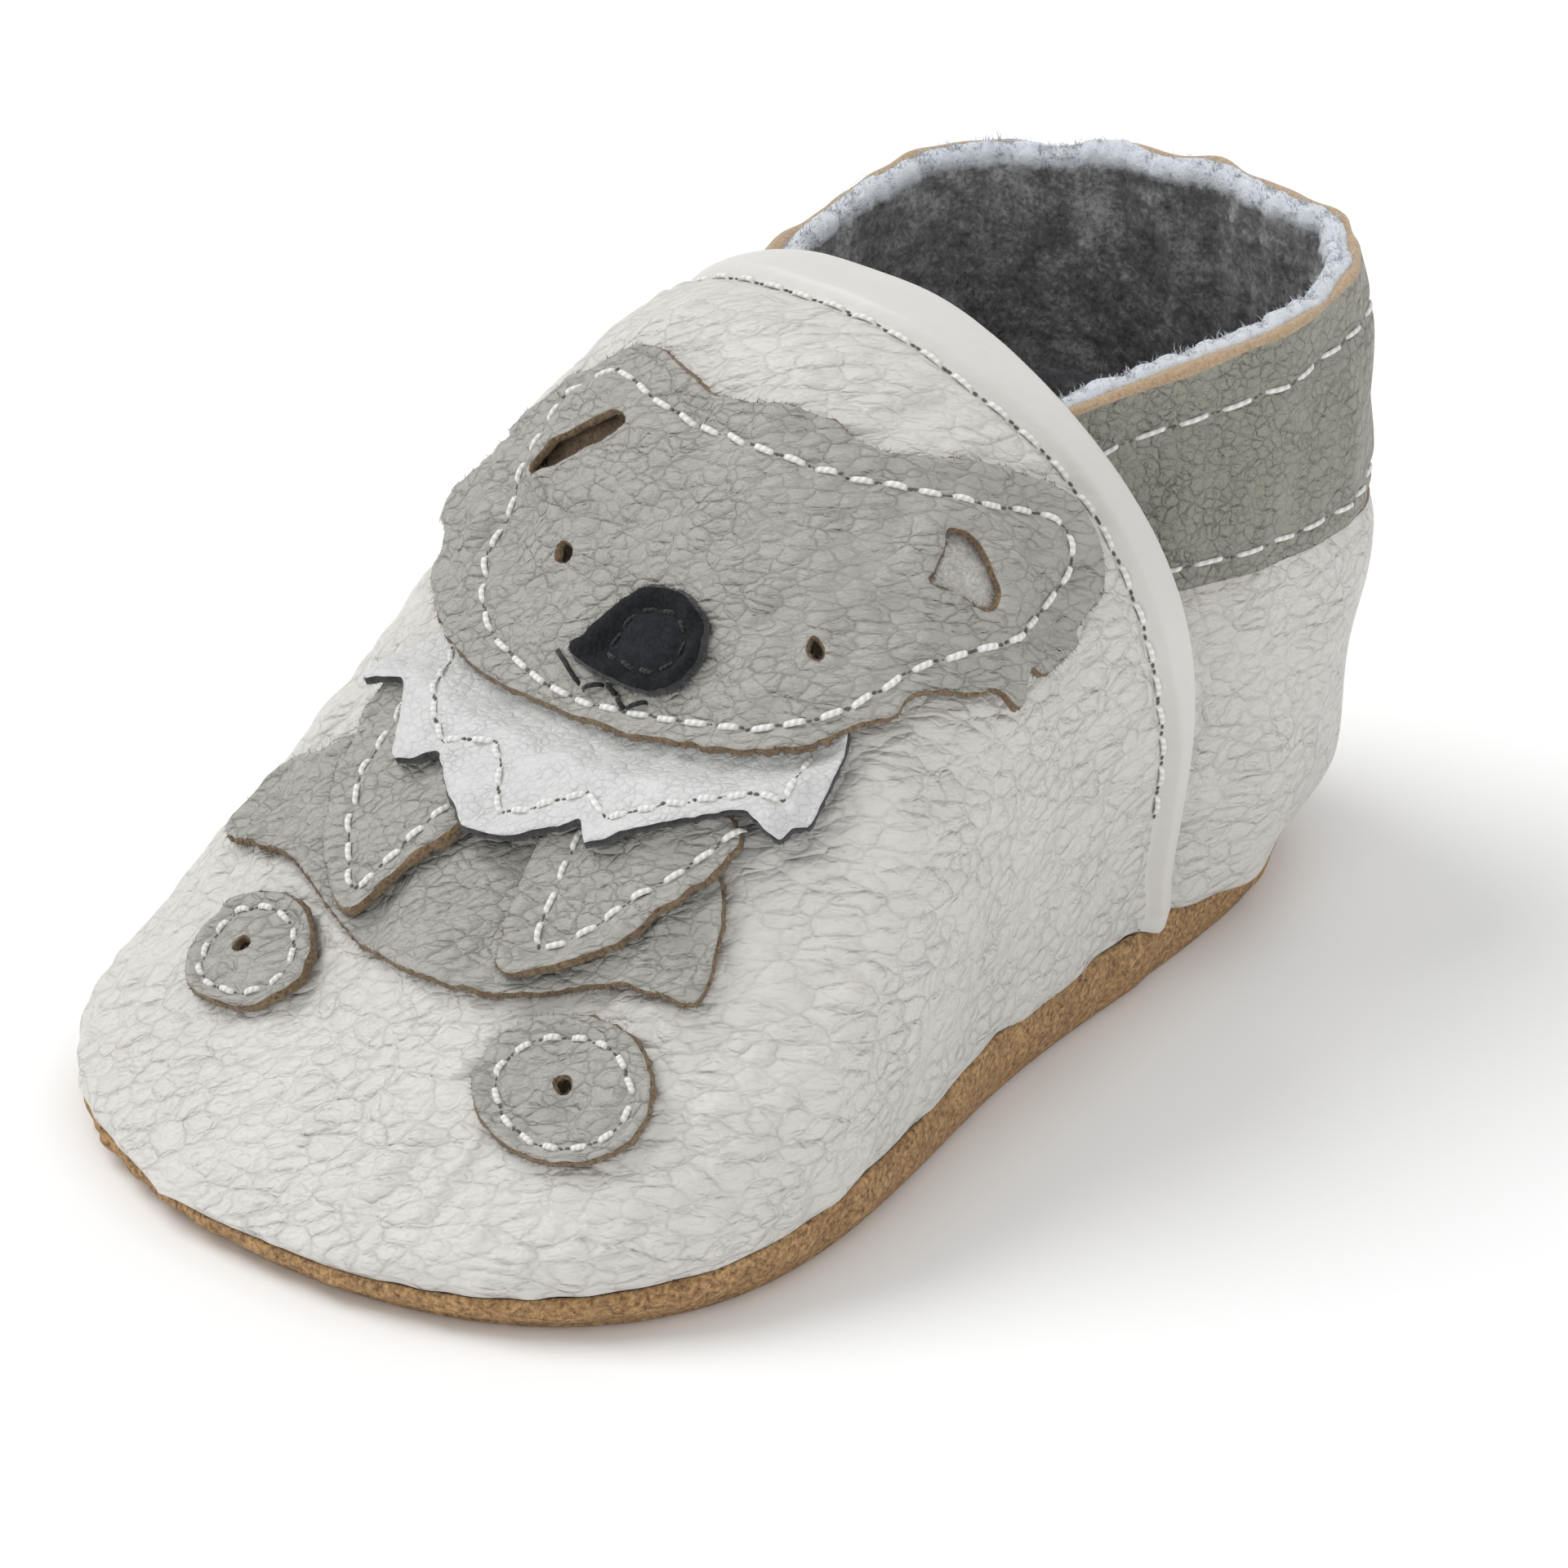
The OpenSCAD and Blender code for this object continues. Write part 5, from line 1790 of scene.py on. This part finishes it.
        high = self.layer(self.band_low, 0, self.lining_back, LINING, 56, 300, flare,
                          0.275, 8, pile)
        p = high.points
        top = ease(0.0, 1.0, (high.uv[:, 1] - 0.95) / 0.05)
        p[:, 2] += top * (0.05 + 0.05 * ripple(p, 4.0, 54) + 0.06 * ripple(p, 1.4, 55))
        ob = high.joined(self.fringe()).piece("ankle_band_plush", [Finish.PLUSH] * 4)
        self.blend(ob, "collar_lining")

    def fringe(self) -> Mesh:
        """Fleece fibres that stand on the rim's half circle.

        Returns:
            All the fibres, with the rim's own UV.
        """
        rng = np.random.default_rng(61)
        n = 5200
        u = rng.uniform(0.28, 0.72, n)
        across = rng.uniform(0.0, 1.0, n)
        root = self.wall(u, 0 * u + 1.0, self.lining_back + 1.3 - 2.2 * across)
        root = root + np.array([0, 0, 1.0]) * (1.05 * np.sin(math.pi * across))[:, None]
        head = rng.normal(size=(n, 3)) * 0.22 + np.array([0, 0, 0.22])
        head = head * rng.uniform(0.6, 1.7, (n, 1))
        hair = fibres(root, head, 0.05, 62, 0.6)
        return Mesh(hair.points, hair.faces, np.tile([0.5, 1.0], (len(hair.points), 1)))

    def build(self) -> None:
        """Makes every layer of the rear."""
        self.quarter()
        self.band()
        self.seams()
        self.plush()


# --- sole
@dataclass
class Sole:
    """Suede outsole with its rim turned up, foam pad and plush sock.

    Attributes:
        fade: where the rings of a closing disc lie, from its spine to its edge.
        spine: x of the spine's two ends.
    """

    last: Last
    inset: float = 3.0
    sole_t: float = 1.5
    pad_t: float = 2.4
    cols: int = 420
    fade: tuple[float, ...] = (0.03, 0.12, 0.25, 0.4, 0.55, 0.7, 0.82, 0.92)
    spine: tuple[float, float] = (-38, 34)

    def dome(self, rings: Sequence[tuple[float, Array]], name: str, node: str, slot: str,
             finishes: Sequence[Finish], which: Sequence[int], snug: float = 0.0
             ) -> bpy.types.Object:
        """A closed disc from rings round the seam, from the middle below to the middle on top.

        Args:
            rings: for each ring, how far it lies inside the seam and its height.
            name: the piece's name.
            node: the CAD node that it stands for.
            slot: not used.
            finishes: its finishes.
            which: finish of each band between two rings.
            snug: how far it gives way where the wall is tucked behind the vamp.

        Returns:
            The piece.
        """
        u = np.arange(self.cols) / self.cols
        seam, out = self.last.seam(u), self.last.seam_out(u)
        f = np.minimum(u, 1 - u)
        give = snug * (ease(0.29, 0.325, f) - ease(0.335, 0.375, f))
        rows = []
        for inset, z in rings:
            tuck = self.last.nook(f) * np.clip(1 - inset / 3, 0, 1) + give
            p = seam - out * (inset + tuck)[:, None] - self.last.centre
            rows.append(np.c_[p[:, :2], np.broadcast_to(z, len(p))])
        # the discs below and on top close towards a spine along the shoe's middle
        spine = np.c_[np.clip(rows[0][:, 0], *self.spine), 0 * u - 1.0, 0 * u]
        fade, k = np.array(self.fade)[:, None, None], len(self.fade)
        down = spine + (rows[0] - spine) * fade
        down[..., 2] = rows[0][:, 2]
        upside = (spine + (rows[-1] - spine) * fade)[::-1]
        upside[..., 2] = rows[-1][:, 2]
        g = np.concatenate([down, np.array(rows), upside])
        relief = 0.1 * ripple(g.reshape(-1, 3), 4.5, 71).reshape(g.shape[:2])
        g[-k:, :, 2] += relief[-k:]
        pts = g.reshape(-1, 3)
        faces = grid_faces(len(g), self.cols, wrap_cols=True)
        n, top = len(pts), (len(g) - 1) * self.cols
        c, none = np.arange(self.cols), np.full(self.cols, -1)
        d = (c + 1) % self.cols
        low = np.stack([c, d, np.full(self.cols, n), none], -1)
        high = np.stack([top + d, top + c, np.full(self.cols, n + 1), none], -1)
        poles = np.array([[*row[:, :2].mean(0), row[0, 2]] for row in (g[0], g[-1])])
        band = np.repeat(np.r_[np.full(k, which[0]), np.asarray(which),
                               np.full(k, which[-1])], self.cols)
        finish = np.r_[band[:len(faces)], np.full(self.cols, which[0]),
                       np.full(self.cols, which[-1])]
        mesh = Mesh(np.vstack([pts, poles]), np.vstack([faces, low, high]), None, finish)
        ob = mesh.piece(name, finishes)
        place(ob, node)
        return ob

    def outsole(self) -> None:
        """Suede sole: flat below, its edge rolled up to the seam and over it to the inside."""
        p = self.last.seam(np.arange(self.cols) / self.cols)
        z = p[:, 2] - GAP
        wave = 0.22 * ripple(p, 6, 72) + 0.12 * ripple(p, 2.6, 73)
        s = np.linspace(0, 1, 9)[1:]
        rim = [(1.5 * (1 - k) ** 1.3 * (1 - 0.25 * np.sin(math.pi * k)) + 0.05
                - 0.35 * math.sin(math.pi * k) + wave * math.sin(math.pi * k * 0.9) * 0.6,
                0.75 + (z - 0.75) * k) for k in s]
        foot = [(self.inset, 0.0), (2.3, 0.06), (1.75, 0.28), (1.48, 0.75 + 0 * z)]
        lip = [(0.25, z + 0.12), (0.7, z + 0.1), (1.2, z - 0.3), (LEATHER + 1, (z + 1.5) / 2),
               (self.inset + 0.8, self.sole_t)]
        rings = [*foot, *rim, *lip]
        which = [0] * (len(rings) - 1)
        self.dome(rings, "suede_outsole", "outsole", "suede_sole", [Finish.SOLE], which)

    def pad(self) -> None:
        """Foam pad with soft edges."""
        z0, z1 = self.sole_t + GAP, self.sole_t + GAP + self.pad_t
        rings = [(6.4, z0), (5.8, z0 + 0.3), (5.6, (z0 + z1) / 2), (5.8, z1 - 0.35), (6.6, z1)]
        ob = self.dome(rings, "foam_pad", "sole_padding", "foam", [Finish.FOAM], [0] * 4)

    def sock(self) -> None:
        """Plush sock that lies on the pad."""
        z0 = self.sole_t + self.pad_t + 2 * GAP
        rings = [(6.2, z0), (4.0, z0 + 0.25), (3.7, z0 + 0.7), (4.3, z0 + LINING + 0.2)]
        self.dome(rings, "insole_plush", "insole_sock", "plush", [Finish.DEEP_PLUSH], [0] * 3,
                  self.last.tuck)

    def build(self) -> None:
        """Makes the three layers underfoot."""
        self.outsole()
        self.pad()
        self.sock()


# --- the animal
@dataclass
class Animal:
    """The sewn-on animal; each foot is given by its middle and half widths in v and a."""

    last: Last
    lay: Lay = field(init=False)
    foot_left: tuple[float, float, float, float] = (0.378, 103.9, 0.046, 10.4)
    foot_right: tuple[float, float, float, float] = (0.414, 54.4, 0.048, 14.2)

    def __post_init__(self) -> None:
        """Prepares the heights of the layers."""
        self.lay = Lay(self.last)

    def eye(self, v: float, a: float, r_mm: float) -> Array:
        """A punched round hole.

        Args:
            v: the vamp measure of its middle.
            a: the arch angle of its middle.
            r_mm: its radius.

        Returns:
            Its outline, as pairs of v and a.
        """
        probe = Patch(self.last, "", "", "", oval(v, a, 0.01, 1), self.lay.flat)
        _, k = probe.scale()
        return oval(v, a, r_mm / k[0], r_mm / k[1], 22)

    def patches(self) -> list[Patch]:
        """Every patch.

        Returns:
            The patches, from the vamp upwards.
        """
        last, lay = self.last, self.lay
        feet = []
        thread_at, nose_thread_at = 0.76, 0.62
        for side, (v, a, rv, ra), off in (("left", self.foot_left, 0.4),
                                          ("right", self.foot_right, 1.2)):
            row = oval(v, a, rv * thread_at, ra * thread_at)
            feet.append(Patch(last, f"foot_{side}_leather", f"foot_disc_{side}",
                              "grey_leather", oval(v, a, rv, ra), lay.flat,
                              punched=[self.eye(v + 0.004, a + off, 0.85)],
                              grooves=[np.vstack([row, row[:1]])], seed=71 + len(feet),
                              hairs=420, corners=Corners.ROUND))
        centre = np.mean(NOSE, axis=0)
        inner = centre + (np.array(NOSE) - centre) * nose_thread_at
        return [
            *feet,
            Patch(last, "body_leather", "body_patch", "grey_leather", BODY, lay.flat,
                  corners=Corners.SOFT, seed=11, hairs=1500, curl=0.16),
            Patch(last, "arm_left_leather", "arm_patch_left", "grey_leather",
                  ARM_LEFT, lay.second, grooves=[ARM_LEFT_STITCH], seed=12,
                  hairs=700),
            Patch(last, "arm_right_leather", "arm_patch_right", "grey_leather",
                  ARM_RIGHT, lay.second, grooves=[ARM_RIGHT_STITCH],
                  seed=13, hairs=700),
            # painted shade: this white inset is drawn in the brown cut-edge suede, for the
            # shadow down the ear hole and its brown cut fibres
            Patch(last, "ear_inset_left_leather", "ear_inset_left", "white_leather",
                  oval(0.727, 98.1, 0.034, 7.2), lay.flat, Finish.CUT, Finish.CUT, seed=14,
                  thick=0.55, corners=Corners.ROUND, lifted=0),
            Patch(last, "ear_inset_right_leather", "ear_inset_right", "white_leather",
                  oval(0.801, 47.2, 0.038, 6.4), lay.flat, Finish.SPECKLED, Finish.SPECKLED,
                  seed=15, thick=0.8, corners=Corners.ROUND, lifted=0),
            Patch(last, "bib_leather", "bib_patch", "white_leather", BIB, lay.bib,
                  Finish.WHITE, Finish.BLACK_CUT, Corners.CRISP,
                  grooves=BIB_STITCHES, seed=16, hairs=500,
                  groove_depth=0.14, curl=0.1),
            Patch(last, "head_leather", "head_patch", "grey_leather", HEAD, lay.head,
                  holes=[EAR_RIGHT, EAR_LEFT],
                  punched=[self.eye(0.659, 94.1, 1.0), self.eye(0.684, 61, 0.95)],
                  grooves=[HEAD_STITCH], seed=17, hairs=2600, mesh_mm=0.5),
            Patch(last, "nose_suede", "nose_patch", "black_suede", NOSE, lay.on_head,
                  Finish.BLACK, Finish.BLACK_CUT, Corners.ROUND,
                  grooves=[np.vstack([inner, inner[:1]])], seed=18, hairs=500,
                  groove_depth=0.42, mesh_mm=0.35, middle=Finish.SHEEN_BLACK, lifted=0.1),
        ]

    def sew(self) -> None:
        """All the thread on the animal."""
        part = {p.node: p for p in self.patches()}
        jobs = (
            (Sewing("feet_stitching", "foot_stitches", "pale_thread", pitch=2.45, shown=0.7,
                    seed=81), [(part[n].grooves[0], n) for n in ("foot_disc_left",
                                                                 "foot_disc_right")]),
            (Sewing("arm_stitching", "arm_stitches", "pale_thread", pitch=2.9, seed=82),
             [(ARM_LEFT_STITCH, "arm_patch_left"), (ARM_RIGHT_STITCH, "arm_patch_right")]),
            (Sewing("bib_stitching", "bib_stitches", "pale_thread", pitch=2.7, seed=83),
             [(line, "bib_patch") for line in BIB_STITCHES]),
            (Sewing("head_stitching", "head_stitches", "pale_thread", pitch=2.9, seed=84),
             [(HEAD_STITCH, "head_patch")]),
            (Sewing("nose_stitching", "nose_stitches", "dark_thread", Finish.DARK_THREAD, 2.0,
                    0.2, 0.85, 0.1, False, 85), [(part["nose_patch"].grooves[0],
                                                  "nose_patch")]),
            (Sewing("mouth_stitching", "mouth_stitches", "dark_thread", Finish.DARK_THREAD,
                    99.0, 0.24, 1.0, 0.5, False, 86),
             [(pair, "head_patch") for pair in zip(MOUTH, MOUTH[1:])]))
        for sewing, rows in jobs:
            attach(sewing.on_vamp(self.last, [(line, part[n].top_at) for line, n in rows]),
                    SHOE)

    def build(self) -> None:
        """Lays the patches and sews them."""
        for patch in self.patches():
            patch.build()
        self.sew()
        throat = Sewing("throat_stitching", "throat_stitches", "pale_thread",
                        Finish.PALE_THREAD, 3.5, 0.3, 0.76, 0.2, True, 87)
        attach(throat.on_vamp(self.last, [(THROAT, lambda q: 0.08 + 0 * q[:, 0])]), SHOE)


# --- studio
@dataclass
class Studio:
    """Pale floor, soft lights and the camera.

    Attributes:
        bearing: the camera's direction in plan, in degrees from +X.
        distance: metres to the aim.
    """

    bearing: float = 42.87
    climb: float = 25.76
    distance: float = 0.4623
    aim: Colour = (0.0, 0.0, 0.025)
    lens: float = 124.2
    shift: tuple[float, float] = (0.0138, -0.0305)
    floor_mm: float = 4000

    def camera(self, last: Last) -> None:
        """Sets the camera on its bearing, looking at the aim.

        Args:
            last: the shoe's shape, whose middle stands over the origin.
        """
        a, e = math.radians(self.bearing), math.radians(self.climb)
        back = Vector((math.cos(a) * math.cos(e), math.sin(a) * math.cos(e), math.sin(e)))
        cam = bpy.data.cameras.new("camera")
        cam.lens, cam.sensor_width = self.lens, 36.0
        cam.shift_x, cam.shift_y = self.shift
        cam.clip_start, cam.clip_end = 0.05, 20
        ob = bpy.data.objects.new("camera", cam)
        ob.location = Vector(self.aim) - Vector(last.centre * MM) + back * self.distance
        ob.rotation_euler = (-back).to_track_quat("-Z", "Y").to_euler()
        bpy.context.scene.collection.objects.link(ob)
        bpy.context.scene.camera = ob

    def light(self, name: str, side: Colour, spread: float, power: float
              ) -> None:
        """A large far lamp.

        Args:
            name: the lamp's name.
            side: direction from the shoe to the lamp.
            spread: how wide the lamp looks from the shoe, in degrees.
            power: its strength.
        """
        data = bpy.data.lights.new(name, "SUN")
        data.angle, data.energy = math.radians(spread), power
        ob = bpy.data.objects.new(name, data)
        ob.location = Vector(side)
        ob.rotation_euler = (-Vector(side)).to_track_quat("-Z", "Y").to_euler()
        bpy.context.scene.collection.objects.link(ob)

    def sky(self) -> None:
        """Even white walls round the table, with a dimmer ceiling."""
        world = bpy.data.worlds.new("studio")
        world.use_nodes = True
        tree = world.node_tree
        at = tree.nodes.new("ShaderNodeTexCoord")
        up = tree.nodes.new("ShaderNodeSeparateXYZ")
        fade = tree.nodes.new("ShaderNodeValToRGB")
        tree.links.new(at.outputs["Generated"], up.inputs[0])
        tree.links.new(up.outputs[2], fade.inputs[0])
        tree.links.new(fade.outputs[0], tree.nodes["Background"].inputs[0])
        e = fade.color_ramp.elements
        e[0].position, e[0].color = 0.12, (1, 1, 1, 1)
        e[1].position, e[1].color = 0.5, (0.42, 0.42, 0.42, 1)
        tree.nodes["Background"].inputs[1].default_value = 1.0
        bpy.context.scene.world = world

    def floor(self) -> None:
        """A wide plain floor at the level of the sole."""
        n = 3
        x = np.linspace(-self.floor_mm, self.floor_mm, n)
        g = np.stack([*np.meshgrid(x, x, indexing="ij"), np.zeros((n, n))], -1)
        mesh = Mesh(g.reshape(-1, 3), grid_faces(n, n))
        r = Recipe("pale_floor")
        r.skin_set(Base_Color=(0.96, 0.96, 0.96, 1), Roughness=0.95, Specular_IOR_Level=0.1)
        me = bpy.data.meshes.new("floor")
        me.from_pydata((mesh.points * MM).tolist(), [], mesh.faces.tolist())
        me.materials.append(r.mat)
        ob = bpy.data.objects.new("floor", me)
        bpy.context.scene.collection.objects.link(ob)

    def build(self, last: Last) -> None:
        """Sets up the whole studio.

        Args:
            last: the shoe's shape.
        """
        scene = bpy.context.scene
        scene.view_settings.view_transform = "Standard"
        self.sky()
        self.camera(last)
        self.light("key", (0.2, -0.55, 0.85), 40, 1.6)
        self.light("fill", (0.6, 0.7, 0.7), 70, 0.6)
        self.light("back", (-0.75, -0.05, 0.7), 50, 0.4)
        self.floor()


def main() -> None:
    """Builds the shoe, sews it, lights it and logs where its middle lies."""
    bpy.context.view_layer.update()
    last = Last()
    log.info("last centred at %.2f, %.2f mm", last.centre[0], last.centre[1])
    Studio().build(last)
    for maker in (Sole(last), Vamp(last), Rear(last), Animal(last)):
        maker.build()
        log.info("%s finished", type(maker).__name__)


if __name__ == "__main__":
    main()
